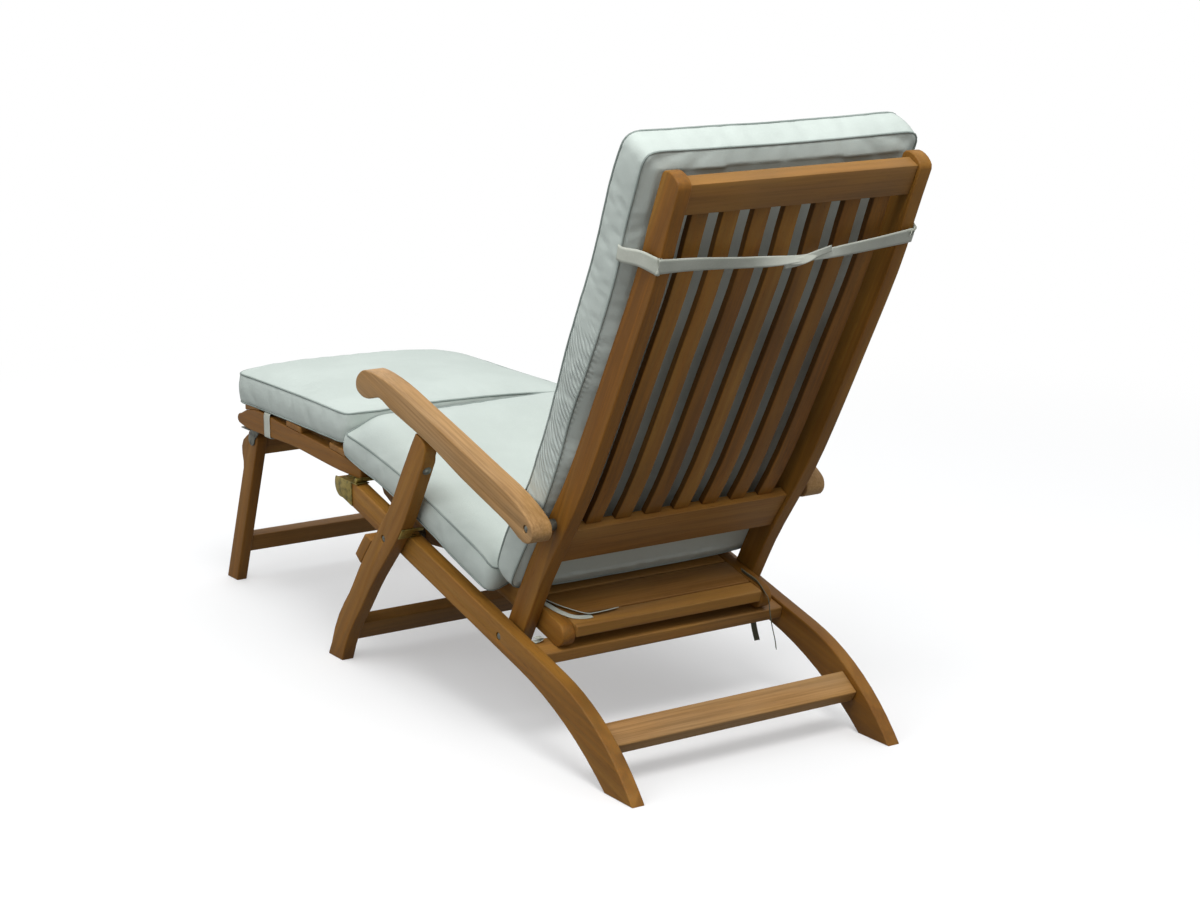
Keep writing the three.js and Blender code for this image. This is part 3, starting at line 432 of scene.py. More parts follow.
# CAD nodes keep their meshes: eased edges and soft shading come from modifiers
easing = {"wood": 0.0022, "metal": 0.0004, "strip": 0.0006, "weld": 0.00002,
          "crease": math.radians(38), "flat": math.radians(0.4)}


def geometryGroup(name, build):
    group = bpy.data.node_groups.new(name, "GeometryNodeTree")
    group.interface.new_socket("Geometry", in_out="INPUT", socket_type="NodeSocketGeometry")
    group.interface.new_socket("Geometry", in_out="OUTPUT", socket_type="NodeSocketGeometry")
    start = group.nodes.new("NodeGroupInput")
    end = group.nodes.new("NodeGroupOutput")
    group.links.new(build(group, start.outputs[0]), end.inputs[0])
    return group


def weldGroup(group, geometry):
    weld = group.nodes.new("GeometryNodeMergeByDistance")
    weld.inputs["Distance"].default_value = easing["weld"]
    bare = group.nodes.new("GeometryNodeRemoveAttribute")
    bare.inputs["Name"].default_value = "custom_normal"
    group.links.new(geometry, weld.inputs[0])
    group.links.new(weld.outputs[0], bare.inputs[0])
    return bare.outputs[0]


def shadeGroup(group, geometry):
    angle = group.nodes.new("GeometryNodeInputMeshEdgeAngle")
    sharp = group.nodes.new("FunctionNodeCompare")
    sharp.operation = "GREATER_THAN"
    sharp.inputs[1].default_value = easing["crease"]
    faces = group.nodes.new("GeometryNodeSetShadeSmooth")
    edges = group.nodes.new("GeometryNodeSetShadeSmooth")
    edges.domain = "EDGE"
    group.links.new(geometry, faces.inputs["Geometry"])
    group.links.new(faces.outputs[0], edges.inputs["Geometry"])
    group.links.new(angle.outputs[0], sharp.inputs[0])
    group.links.new(sharp.outputs[0], edges.inputs["Selection"])
    edges.inputs["Shade Smooth"].default_value = False
    return edges.outputs[0]


weld = geometryGroup("weld", weldGroup)
shade = geometryGroup("soft_shade", shadeGroup)


def easeEdges(piece, width, segments=3):
    piece.modifiers.new("weld", "NODES").node_group = weld
    flat = piece.modifiers.new("flat", "DECIMATE")
    flat.decimate_type = "DISSOLVE"
    flat.angle_limit = easing["flat"]
    bevel = piece.modifiers.new("ease", "BEVEL")
    bevel.width = width
    bevel.segments = segments
    bevel.limit_method = "ANGLE"
    bevel.angle_limit = easing["crease"]
    piece.modifiers.new("shade", "NODES").node_group = shade


softNodes = ("seat_cushion", "back_cushion", "foot_cushion", "back_strap")
metalNodes = {"knee_shoe": brassFinish, "knee_leaf": brassFinish, "rail_catch": brassFinish,
              "leg_bolt": steelFinish, "back_bolt": steelFinish, "arm_bolt": steelFinish,
              "footrest_bracket": steelFinish}


def finishOf(name):
    for start, finish in metalNodes.items():
        if name.startswith(start):
            return finish, easing["metal"]
    if name.startswith(crossBoards):
        return woods["across"], easing["wood"]
    return woods[next(start for start in woods if name.startswith(start))], easing["wood"]


for name, node in frame["nodes"].items():
    if name in softNodes:
        continue
    finish, width = finishOf(name)
    for slot in node.material_slots:
        slot.material = finish
    easeEdges(node, width)
print("frame finished")


# Plan of a cushion: a rectangle with rounded corners and sides drawn in between them
def planSide(halfRun, halfDepth, radius, drawIn, t):
    straight = halfRun - radius
    reach = abs(t) * (straight + radius * math.pi / 4)
    if reach <= straight:
        u, v = reach, halfDepth
    else:
        angle = (reach - straight) / radius
        u, v = straight + radius * math.sin(angle), halfDepth - radius * (1 - math.cos(angle))
    return math.copysign(u, t), v - drawIn * (1 - (u / halfRun) ** 2)


# Points of a cushion in its own frame, with seams kept as whole loops of vertices
def cushionShape(look):
    columns, rows, bands = look["columns"], look["rows"], look["bands"]
    halfWide, halfLong = look["width"] / 2, (look["end"] - look["start"]) / 2
    centre = (look["start"] + look["end"]) / 2
    radius, drawIn = look["corner"], look["drawIn"]
    s = [2 * i / columns - 1 for i in range(columns + 1)]
    t = [2 * j / rows - 1 for j in range(rows + 1)]
    ends = [planSide(halfWide, halfLong, radius, drawIn, a) for a in s]
    sides = [planSide(halfLong, halfWide, radius, drawIn, b) for b in t]
    corner = ends[-1]

    def plan(i, j):
        a, b = s[i], t[j]
        ex, ey = ends[i]
        sy, sx = sides[j]
        x = ex + a * sx - a * abs(corner[0])
        y = b * ey + sy - b * abs(corner[1])
        return x, centre + y

    # Low and high point of the cushion at a place of its grid: seams at the rim, crowns inside
    def heights(i, j, x, along):
        a, b = s[i], t[j]
        crown = ((1 - abs(a) ** look["fullness"]) * (1 - abs(b) ** look["fullness"])) ** look["crownSlope"]
        settle = smooth(min((1 - abs(a)) * halfWide, (1 - abs(b)) * halfLong), 0.0, look["restReach"])
        low = look["lowSeam"](x, along)
        low += (max(look["bottomAt"](along), low - look["sag"]) - low) * settle
        return low, look["topSeam"](x, along) + look["crown"] * crown

    def spot(i, j, level, out=0.0):
        x, along = plan(i, j)
        x *= look["widthAt"](along) / halfWide
        low, high = heights(i, j, x, along)
        if out:
            sideways = math.copysign(1, x) if abs(s[i]) == 1 else 0.0
            endways = t[j] if abs(t[j]) == 1 else 0.0
            outwards = Vector((sideways, endways)).normalized()
            x += outwards.x * out
            along += outwards.y * out
        along += look["lean"](x, t[j], level)
        return look["frame"].at(x, along, low + (high - low) * level)

    ring = [(i, 0) for i in range(columns)] + [(columns, j) for j in range(rows)]
    ring += [(i, rows) for i in range(columns, 0, -1)] + [(0, j) for j in range(rows, 0, -1)]
    points = [spot(i, j, 1) for j in range(rows + 1) for i in range(columns + 1)]
    points += [spot(i, j, 0) for j in range(rows + 1) for i in range(columns + 1)]

    def topAt(i, j):
        return j * (columns + 1) + i

    def lowAt(i, j):
        return (rows + 1) * (columns + 1) + topAt(i, j)

    loops = [[lowAt(i, j) for i, j in ring]]
    for k in range(1, bands):
        loops.append(list(range(len(points), len(points) + len(ring))))
        points += [spot(i, j, k / bands, look["bulge"] * math.sin(math.pi * k / bands)) for i, j in ring]
    loops.append([topAt(i, j) for i, j in ring])
    faces = []
    for j in range(rows):
        for i in range(columns):
            faces.append((topAt(i, j), topAt(i + 1, j), topAt(i + 1, j + 1), topAt(i, j + 1)))
            faces.append((lowAt(i, j), lowAt(i, j + 1), lowAt(i + 1, j + 1), lowAt(i + 1, j)))
    count = len(ring)
    for k in range(bands):
        for n in range(count):
            m = (n + 1) % count
            faces.append((loops[k][n], loops[k][m], loops[k + 1][m], loops[k + 1][n]))
    return points, faces, loops[0], loops[-1]


# Fills the cushion: cloth under pressure with its seams held, and a cap on how far a point moves
def fill(piece, held, look):
    start = np.array([v.co[:] for v in piece.data.vertices])
    group = piece.vertex_groups.new(name="held")
    group.add(held, 1.0, "REPLACE")
    cloth = piece.modifiers.new("cloth", "CLOTH")
    for key, value in look["cloth"].items():
        setattr(cloth.settings, key, value)
    cloth.settings.effector_weights.gravity = 0.0
    cloth.point_cache.frame_start = 1
    cloth.point_cache.frame_end = look["frames"]
    scene = bpy.context.scene
    for step in range(1, look["frames"] + 1):
        scene.frame_set(step)
    shaped = piece.evaluated_get(bpy.context.evaluated_depsgraph_get()).to_mesh()
    moved = np.array([v.co[:] for v in shaped.vertices])
    scene.frame_set(1)
    piece.modifiers.remove(cloth)
    piece.vertex_groups.clear()
    shift = moved - start
    length = np.linalg.norm(shift, axis=1, keepdims=True)
    cap, tiny = look["cap"], 1e-9
    capped = shift * np.where(length > tiny, cap * np.tanh(length / cap) / np.maximum(length, tiny), 0)
    piece.data.vertices.foreach_set("co", (start + capped).ravel())
    piece.data.update()


# One subdivision, keeping the first vertices' order so that the seams stay known
def subdivided(piece):
    modifier = piece.modifiers.new("fine", "SUBSURF")
    modifier.levels = 1
    modifier.render_levels = 1
    fine = bpy.data.meshes.new_from_object(piece.evaluated_get(bpy.context.evaluated_depsgraph_get()))
    piece.modifiers.remove(modifier)
    old = piece.data
    piece.data = fine
    bpy.data.meshes.remove(old)


def buildCushion(name, look):
    points, faces, lowSeam, topSeam = cushionShape(look)
    piece = meshPiece(name, points, faces, [look["finish"], pipingFinish])
    turnOutwards(piece)
    fill(piece, sorted(set(lowSeam + topSeam)), look)
    subdivided(piece)
    side = look["frame"]
    mesh = piece.data
    normals = [v.normal.copy() for v in mesh.vertices]
    for vertex, normal in zip(mesh.vertices, normals):
        vertex.co += normal * look["wrinkle"](*side.read(vertex.co))
        x, along, up = side.read(vertex.co)
        inside = min(look["widthAt"](along) - abs(x), along - look["start"], look["end"] - along)
        if inside > look["restReach"]:
            vertex.co += side.up * max(look["bottomAt"](along) - up, 0.0)
    mesh.update()
    faces = [tuple(face.vertices) for face in mesh.polygons]
    points = [v.co.copy() for v in mesh.vertices]
    slots = [0] * len(faces)
    for seam in (topSeam, lowSeam):
        path = [mesh.vertices[i].co + mesh.vertices[i].normal * look["pipeInset"] for i in seam]
        path = [(path[i - 1] + path[i] * 2 + path[(i + 1) % len(path)]) / 4 for i in range(len(path))]
        pipePoints, pipeFaces = tube(path, look["pipe"])
        faces += [tuple(i + len(points) for i in face) for face in pipeFaces]
        points += pipePoints
        slots += [1] * len(pipeFaces)
    bpy.data.objects.remove(piece)
    piece = meshPiece(name, points, faces, [look["finish"], pipingFinish], slots)
    turnOutwards(piece)
    print(name, "filled,", len(points), "points")
    return piece


foldScales = {"wide": 7.0, "middle": 17.0, "tight": (45.0, 45.0, 12.0), "perSeed": (3.1, 1.7, 5.3)}


# Soft unevenness of a filled cushion, with small puckers beside the seams
def softFolds(seed, size, reach):
    offset = Vector(foldScales["perSeed"]) * seed

    def fold(x, along, up):
        spot = Vector((x, along, up))
        wide = noise.noise(spot * foldScales["wide"] + offset)
        wide += 0.5 * noise.noise(spot * foldScales["middle"] + offset)
        return size * wide + reach * noise.noise(spot * Vector(foldScales["tight"]) + offset)
    return fold


cushionMake = {
    "corner": 0.022, "drawIn": 0.004, "fullness": 4, "crownSlope": 0.6, "bulge": 0.003,
    "restReach": 0.045, "sag": 0.02, "pipe": 0.0018, "pipeInset": 0.001,
    "frames": 20, "cap": 0.005,
    "cloth": {"quality": 6, "mass": 0.25, "tension_stiffness": 12, "compression_stiffness": 12,
              "shear_stiffness": 4, "bending_stiffness": 0.6, "use_pressure": True,
              "uniform_pressure_force": 3.0, "shrink_min": -0.012, "vertex_group_mass": "held"},
}
seatTables = {
    "top": [[-0.243, 0.090], [-0.178, 0.098], [-0.102, 0.104], [0.0, 0.108], [0.19, 0.106], [0.265, 0.105],
            [0.288, 0.101], [0.305, 0.090]],
    "low": [[-0.243, 0.0525], [-0.168, 0.053], [-0.09, 0.058], [0.05, 0.0575], [0.12, 0.054], [0.17, 0.050],
            [0.305, 0.050]],
    "rest": 0.0643, "railEdge": 0.217, "overhang": 0.25,
    "frontRise": 0.028, "swellAcross": (0.185, 0.264), "swellAlong": (-0.25, -0.02),
    "noseAlong": (-0.235, -0.19),
}


# The front of the seat cushion swells up against the foot cushion, less at its corners
def seatTop(x, along):
    swell = 1 - smooth(abs(x), *seatTables["swellAcross"])
    swell *= 1 - smooth(along, *seatTables["swellAlong"])
    return smoothAt(seatTables["top"], along) + seatTables["frontRise"] * swell


# The side of the seat cushion hangs a little below the slats, outside the seat rails
def seatLow(x, along):
    hang = smooth(abs(x), seatTables["railEdge"], seatTables["overhang"])
    hang = max(hang, 1 - smooth(along, *seatTables["noseAlong"]))
    return seatTables["rest"] + (smoothAt(seatTables["low"], along) - seatTables["rest"]) * hang


seatLook = {
    **cushionMake, "frame": seatFrame, "start": -0.2415, "end": 0.302, "width": 0.532,
    "bottomAt": lambda along: seatTables["rest"], "widthAt": lambda along: 0.266, "crown": 0.010,
    "topSeam": seatTop, "lowSeam": seatLow,
    "lean": lambda x, b, level: 0.0, "columns": 50, "rows": 50, "bands": 6, "corner": 0.013,
    "wrinkle": softFolds(1, 0.0009, 0.0004),
}
seatLook["finish"] = wovenCloth("seat_cushion_cloth", clothTones["cushion"], seatFrame)
seatCushion = buildCushion("seat_cushion_filled", seatLook)

# Top of the footrest's rails, as shares of its length: place, crown, depth
footrestTops = [[0.016, 0.34, 0.5], [0.1, 0.43, 0.61], [0.183, 0.53, 0.72], [0.35, 0.72, 0.755],
                [0.525, 0.885, 0.73], [0.676, 0.945, 0.845], [0.75, 1, 0.955], [0.84, 1, 1],
                [0.93, 0.86, 0.81], [0.973, 0.74, 0.48]]
footrestSize = {"length": 0.527, "crown": 0.027, "depth": 0.045, "slat": 0.012, "slatHalf": 0.031,
                "fit": 0.0006}


def footrestTop(along):
    share = along / footrestSize["length"]
    crown = smoothAt(footrestTops, share) * footrestSize["crown"]
    depth = smoothAt(footrestTops, share, 2) * footrestSize["depth"]
    return crown + depth / 2


# Where the foot cushion lies: on straight slats, so on the highest spot within half a slat
def footrestRest(along):
    spots = [along + footrestSize["slatHalf"] * (k / 3 - 1) for k in range(7)]
    return max(footrestTop(spot) for spot in spots) + footrestSize["slat"] + footrestSize["fit"]


footTables = {
    "top": [[-0.26, 0.094], [-0.226, 0.101], [-0.178, 0.109], [-0.107, 0.115], [-0.014, 0.119], [0.055, 0.1205],
            [0.122, 0.121], [0.189, 0.1185], [0.235, 0.115], [0.26, 0.1125]],
    "low": 0.055, "lean": 0.02, "flatter": 0.006, "rearAlong": (0.07, 0.2), "edge": (0.18, 0.25),
}


# The foot cushion stands higher on the sitter's left, and its top leans over the seat cushion
def footTop(x, along):
    flatter = footTables["flatter"] * (1 - smooth(along, *footTables["rearAlong"]))
    return smoothAt(footTables["top"], x) - flatter * (1 - smooth(abs(x), *footTables["edge"]))


def footLow(x, along):
    return max(footTables["low"], footrestRest(along)) if abs(x) < footTables["edge"][1] else footTables["low"]


footLook = {
    **cushionMake, "frame": footrestFrame, "start": 0.070, "end": 0.521, "width": 0.520,
    "bottomAt": footrestRest, "widthAt": lambda along: 0.260, "crown": 0.011, "fullness": 2.6,
    "topSeam": footTop, "lowSeam": footLow,
    "lean": lambda x, b, level: -footTables["lean"] * level * ((1 - b) / 2) ** 2,
    "columns": 50, "rows": 44, "bands": 6, "wrinkle": softFolds(2, 0.0009, 0.0004),
}
footLook["finish"] = wovenCloth("foot_cushion_cloth", clothTones["cushion"], footrestFrame)
footCushion = buildCushion("foot_cushion_filled", footLook)

# The stiles, as shares of their length: place, bow, depth
stileTops = [[0, 0, 0.96], [0.16, -0.14, 0.98], [0.246, -0.42, 1], [0.342, -0.75, 1], [0.428, -0.89, 1],
             [0.615, -0.97, 1], [0.824, -0.97, 1], [0.909, -0.72, 1], [1, -0.56, 0.98]]
stileSize = {"length": 0.935, "bow": 0.036, "depth": 0.05, "fit": 0.0003}
backTables = {
    "rest": [[0, 1], [0.046, 0.99], [0.099, 0.85], [0.141, 0.68], [0.261, 0.18], [0.389, -0.32], [0.609, -0.42],
             [0.676, -0.2], [0.757, 0.23], [0.828, 0.41], [0.909, 0.73], [1, 1]],
    "top": [[0.066, 0.070], [0.085, 0.078], [0.115, 0.081], [0.175, 0.0805], [0.271, 0.0697], [0.33, 0.0690],
            [0.393, 0.070], [0.469, 0.0725], [0.547, 0.0758], [0.6, 0.077], [0.649, 0.0775], [0.707, 0.0775],
            [0.762, 0.0805], [0.82, 0.0865], [0.865, 0.090], [0.905, 0.0905], [0.956, 0.088]],
    "low": [[0.066, 0.031], [0.1, 0.030], [0.147, 0.027], [0.188, 0.023], [0.284, 0.0145], [0.385, 0.015],
            [0.433, 0.018], [0.486, 0.0175], [0.54, 0.0135], [0.631, 0.0105], [0.718, 0.0105], [0.768, 0.0145],
            [0.806, 0.0215], [0.846, 0.0245], [0.9, 0.0265], [0.956, 0.030]],
    "width": [[0, 0.97], [0.332, 0.965], [0.571, 0.985], [1, 1]],
    "start": 0.066, "end": 0.956, "standoff": 0.022, "halfWidth": 0.266, "besideArms": 0.3576, "clear": 0.2575,
    "lean": 0.004, "lift": 0.016, "liftSlope": 4, "endSlope": 12,
}


def backShare(table, along, size):
    share = (along - backTables["start"]) / (backTables["end"] - backTables["start"])
    return smoothAt(backTables[table], share) * size


def stileEdge(along, side):
    share = along / stileSize["length"]
    bow = smoothAt(stileTops, share) * stileSize["bow"]
    depth = smoothAt(stileTops, share, 2) * stileSize["depth"]
    return bow + side * (depth / 2 + stileSize["fit"])


def backRear(along):
    return max(backShare("rest", along, backTables["standoff"]), stileEdge(along, 1))


def backWide(along):
    width = backShare("width", along, backTables["halfWidth"])
    return min(width, backTables["clear"]) if along < backTables["besideArms"] else width


# The boxing on the sitter's left is gathered into fine slanting puckers, with painted shade along the folds
puckers = {"from": 0.27, "full": 0.34, "fading": 0.55, "to": 0.66, "beyond": (0.245, 0.258),
           "pitch": 0.0115, "depth": 0.0024, "slant": 0.9, "shade": 0.22,
           "waver": 26.0, "waverReach": 5.0, "patch": (34.0, 1.0), "patchFade": (0.2, 0.6)}


# The lower end rises towards its corners and reaches lowest in the middle
def backLean(x, b, level):
    end = ((1 - b) / 2) ** backTables["endSlope"]
    lift = backTables["lift"] * (abs(x) / backTables["halfWidth"]) ** backTables["liftSlope"]
    return end * (lift - backTables["lean"] * level)


backLook = {
    **cushionMake, "frame": backFrame, "start": backTables["start"], "end": backTables["end"],
    "width": 2 * backTables["halfWidth"], "corner": 0.024,
    "bottomAt": backRear, "widthAt": backWide, "crown": 0.008, "restReach": 0.03,
    "topSeam": lambda x, along: smoothAt(backTables["top"], along),
    "lowSeam": lambda x, along: smoothAt(backTables["low"], along),
    "lean": backLean, "columns": 46, "rows": 120, "bands": 7, "wrinkle": softFolds(3, 0.001, 0.0004),
}
backLook["finish"] = wovenCloth("back_cushion_cloth", clothTones["cushion"], backFrame, puckers)
backCushion = buildCushion("back_cushion_filled", backLook)

for piece, node, body, joint, side, look, keep in (
    (seatCushion, "seat_cushion", "base", "back_fold", seatFrame, seatLook, 0.14),
    (backCushion, "back_cushion", "back", "back_fold", backFrame, backLook, 0.2),
    (footCushion, "foot_cushion", "footrest", "footrest_fold", footrestFrame, footLook, 0.3),
):
    middle = (look["start"] + look["end"]) / 2
    anchor = side.at(0.0, middle, look["bottomAt"](middle))
    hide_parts(node)
    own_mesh(piece)
    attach(piece, body)
print("cushions on their bodies")


# Flat woven tape along a path: each spot gives its place, the direction of its width and its width
def tape(name, spots, thickness, steps=6):
    places = through([Vector(spot[0]) for spot in spots], steps)
    across = through([Vector(spot[1]).normalized() for spot in spots], steps)
    widths = [wide.x for wide in through([Vector((spot[2], 0, 0)) for spot in spots], steps)]
    points, faces = [], []
    last, strands = len(places) - 1, 6
    perFace = strands + 1
    row = 2 * perFace
    for i, place in enumerate(places):
        tangent = (places[min(i + 1, last)] - places[max(i - 1, 0)]).normalized()
        side = across[i].normalized()
        side = (side - tangent * side.dot(tangent)).normalized()
        lift = tangent.cross(side)
        for face in (1, -1):
            for k in range(perFace):
                points.append(place + side * (k / strands - 0.5) * widths[i] + lift * face * thickness / 2)
    for i in range(last):
        for k in range(strands):
            a, b = i * row + k, (i + 1) * row + k
            faces.append((a, a + 1, b + 1, b))
            faces.append((a + perFace, b + perFace, b + perFace + 1, a + perFace + 1))
        left, right = i * row, i * row + strands
        faces.append((left, left + row, left + row + perFace, left + perFace))
        faces.append((right, right + perFace, right + row + perFace, right + row))
    for i in (0, last):
        for k in range(strands):
            a = i * row + k
            faces.append((a, a + perFace, a + perFace + 1, a + 1))
    piece = meshPiece(name, points, faces, [tapeFinish])
    turnOutwards(piece)
    lengths = [(places[i + 1] - places[i]).length for i in range(last)]
    area = sum(length * (widths[i] + widths[i + 1]) / 2 for i, length in enumerate(lengths))
    return piece, sum(lengths), area


# Band round the cushion's rear edges and both stiles, tied behind the slats.
# Spots: x, along, a height from the cushion's or the stile's rear face, width and tilt
strapLook = {
    "reach": 0.798, "thickness": 0.0012, "steps": 8,
    "nearEnd": [(0.2655, 0.782, 0.012, 0.024), (0.2645, 0.786, -0.002, 0.025), (0.2545, 0.798, -0.03, 0.027)],
    "behind": [
        (0.2472, 0.8055, 0.006, 0.028, 0.0), (0.2452, 0.8075, 0.0002, 0.028, 0.0),
        (0.2405, 0.8085, -0.0016, 0.027, 0.0), (0.18, 0.807, -0.0018, 0.024, 0.0),
        (0.09, 0.8005, -0.0022, 0.021, 0.0), (0.02, 0.797, -0.003, 0.016, 0.5),
        (-0.03, 0.7985, -0.0045, 0.011, 1.0), (-0.075, 0.801, -0.003, 0.016, 0.4),
        (-0.15, 0.808, -0.0022, 0.024, 0.0), (-0.232, 0.818, -0.0018, 0.028, 0.0),
        (-0.2405, 0.82, -0.0014, 0.028, 0.0), (-0.2452, 0.8197, 0.0004, 0.028, 0.0),
        (-0.2475, 0.8195, 0.008, 0.028, 0.0)],
    "farEnd": [(-0.2555, 0.8185, -0.028, 0.028), (-0.2645, 0.817, -0.002, 0.028),
               (-0.2655, 0.815, 0.012, 0.028)],
}


def strapSpot(x, along, up, width, tilt=0.0):
    wide = backFrame.along * math.cos(tilt) + backFrame.up * math.sin(tilt)
    return backFrame.at(x, along, up), wide, width


stileRear = stileEdge(strapLook["reach"], -1)
cushionRear = backRear(strapLook["reach"])
strapSpots = []
for part, rear in (("nearEnd", cushionRear), ("behind", stileRear), ("farEnd", cushionRear)):
    strapSpots += [strapSpot(x, along, rear + up, *rest) for x, along, up, *rest in strapLook[part]]
strap, strapLength, strapArea = tape("back_strap_tape", strapSpots, strapLook["thickness"], strapLook["steps"])
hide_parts("back_strap")
round(strapArea / strapLength, 4)
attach(strap, "back")
print("strap length", round(strapLength, 3))


# The knot behind the slats: two loose ends crossed over the band
looseThickness = 0.0011
knotSpots = {
    "knot_end_long": [(-0.004, 0.7945, 0.0048, 0.010, 0.9), (-0.024, 0.797, 0.0075, 0.012, 0.7),
                      (-0.045, 0.8035, 0.0065, 0.012, 0.3), (-0.078, 0.8125, 0.0052, 0.012, 0.1)],
    "knot_end_short": [(-0.052, 0.805, 0.0052, 0.010, 0.6), (-0.034, 0.8005, 0.0088, 0.012, 0.8),
                       (-0.014, 0.7925, 0.0068, 0.012, 0.4), (0.004, 0.788, 0.005, 0.011, 0.2)],
}


# A loose length of tape
def looseTape(name, spots, body, finish=tapeFinish):
    piece, length, area = tape(name, spots, looseThickness)
    piece.data.materials[0] = finish
    round(max(area / length, 0.01), 4)
    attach(piece, body)
    return piece


for name, spots in knotSpots.items():
    ends = [strapSpot(x, along, stileRear - out, width, tilt) for x, along, out, width, tilt in spots]
    looseTape(name, ends, "back")


# Where a straight line first meets any of the named CAD nodes
def landOn(nodes, start, direction):
    found = []
    for name in nodes:
        hit, place, normal, face = frame["nodes"][name].ray_cast(start, direction)
        if hit:
            found.append(((place - start).length, place, normal))
    return min(found, key=lambda entry: entry[0])[1:]


# Round metal head: a profile of radius and height turned about the normal
def head(name, place, normal, profile, finish, body, sides=20):
    turn = normal.to_track_quat("Z", "Y")
    points = []
    for radius, height in profile:
        for k in range(sides):
            angle = 2 * math.pi * k / sides
            points.append(place + turn @ Vector((math.cos(angle) * radius, math.sin(angle) * radius, height)))
    faces = ringFaces(len(profile), sides)
    faces += [tuple(range(sides))[::-1], tuple(range(len(points) - sides, len(points)))]
    piece = meshPiece(name, points, faces, [finish])
    turnOutwards(piece)
    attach(piece, body)
    return piece


boltProfile = [(0.0085, -0.001), (0.0085, 0.0008), (0.0082, 0.0012), (0.0055, 0.0014), (0.0053, 0.0032),
               (0.004, 0.0046), (0.0018, 0.0052)]
screwProfile = [(0.0042, -0.0006), (0.0042, 0.0004), (0.0032, 0.0012), (0.0012, 0.0015)]


# Bent steel strip, thick and with eased edges, along spots given in a side frame
def strip(name, side, spots, across, thickness, finish, body):
    points = []
    places = through([side.at(x, along, up) for x, along, up in spots], 6)
    last = len(places) - 1
    wide = Vector((1.0, 0.0, 0.0))
    for i, place in enumerate(places):
        tangent = (places[min(i + 1, last)] - places[max(i - 1, 0)]).normalized()
        lift = tangent.cross(wide).normalized()
        for w, h in ((-1, 0), (1, 0), (1, 1), (-1, 1)):
            points.append(place + wide * w * across / 2 + lift * h * thickness)
    faces = ringFaces(len(places), 4)
    faces += [(0, 1, 2, 3), (last * 4 + 3, last * 4 + 2, last * 4 + 1, last * 4)]
    piece = meshPiece(name, points, faces, [finish])
    turnOutwards(piece)
    easeEdges(piece, easing["strip"], 2)
    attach(piece, body)
    return piece


legLook = {
    "x": 0.2875, "strap": (0.196, 0.212, 0.228, 0.24), "screws": (0.205, 0.231), "bolt": 0.206,
    "above": 0.09, "below": -0.12, "width": 0.018, "thickness": 0.0022, "bedding": 0.0004, "screwLift": 0.0026,
}
loopLook = {
    "along": 0.391, "width": 0.024,
    "path": ((0.2445, 0.0535), (0.2555, 0.0525), (0.2582, 0.045), (0.2582, 0.027), (0.258, 0.008),
             (0.2555, 0.0035), (0.2445, 0.003), (0.2335, 0.0035), (0.231, 0.008), (0.2308, 0.027),
             (0.2308, 0.045), (0.2335, 0.0525), (0.2445, 0.0545)),
}


def onLeg(sign, sideName, along, start, direction):
    return landOn(["front_leg_" + sideName], legFrame.at(sign * legLook["x"], along, start), direction)


for sign, sideName in ((1, "left"), (-1, "right")):
    edge = []
    for along in legLook["strap"]:
        place, normal = onLeg(sign, sideName, along, legLook["above"], -legFrame.up)
        edge.append((sign * legLook["x"], along, legFrame.read(place)[2] + legLook["bedding"]))
    strip("leg_strap_" + sideName, legFrame, edge, legLook["width"], legLook["thickness"], steelFinish,
          "front_legs")
    for along in legLook["screws"]:
        place, normal = onLeg(sign, sideName, along, legLook["above"], -legFrame.up)
        head("leg_strap_screw_%s_%d" % (sideName, along * 1000), place + normal * legLook["screwLift"], normal,
             screwProfile, steelFinish, "front_legs")
    place, normal = onLeg(sign, sideName, legLook["bolt"], legLook["below"], legFrame.up)
    head("leg_top_bolt_" + sideName, place, normal, boltProfile, steelFinish, "front_legs")
    loop = [(footrestFrame.at(sign * x, loopLook["along"], up), footrestFrame.along, loopLook["width"])
            for x, up in loopLook["path"]]
    looseTape("footrest_loop_" + sideName, loop, "footrest")

# Ties of the seat cushion, in millimetres across and along the seat: two lie on the rear slats
slats = ["seat_rail_left", "seat_rail_right", "seat_slat_7", "seat_slat_8", "seat_slat_9"]
tieTables = {
    "tie_flat": {"path": [(208, 372), (204, 392), (196, 420), (183, 441), (166, 449), (150, 450)],
                 "width": 0.011, "lift": 0.0012, "tilt": 0.0},
    "tie_folded": {"path": [(203, 374), (189, 402), (171, 428), (156, 443), (140, 446), (118, 445), (95, 443)],
                   "width": 0.01, "lift": 0.0035, "tilt": 0.5},
}


def onSlats(x, along):
    place, normal = landOn(slats, seatFrame.at(x / 1000, along / 1000, 0.12), -seatFrame.up)
    return place


for name, look in tieTables.items():
    wide = Vector((0.55, seatFrame.along.y * 0.8, seatFrame.along.z * 0.8)) + seatFrame.up * look["tilt"]
    spots = [(onSlats(*spot) + seatFrame.up * look["lift"], wide, look["width"]) for spot in look["path"]]
    looseTape(name, spots, "base")

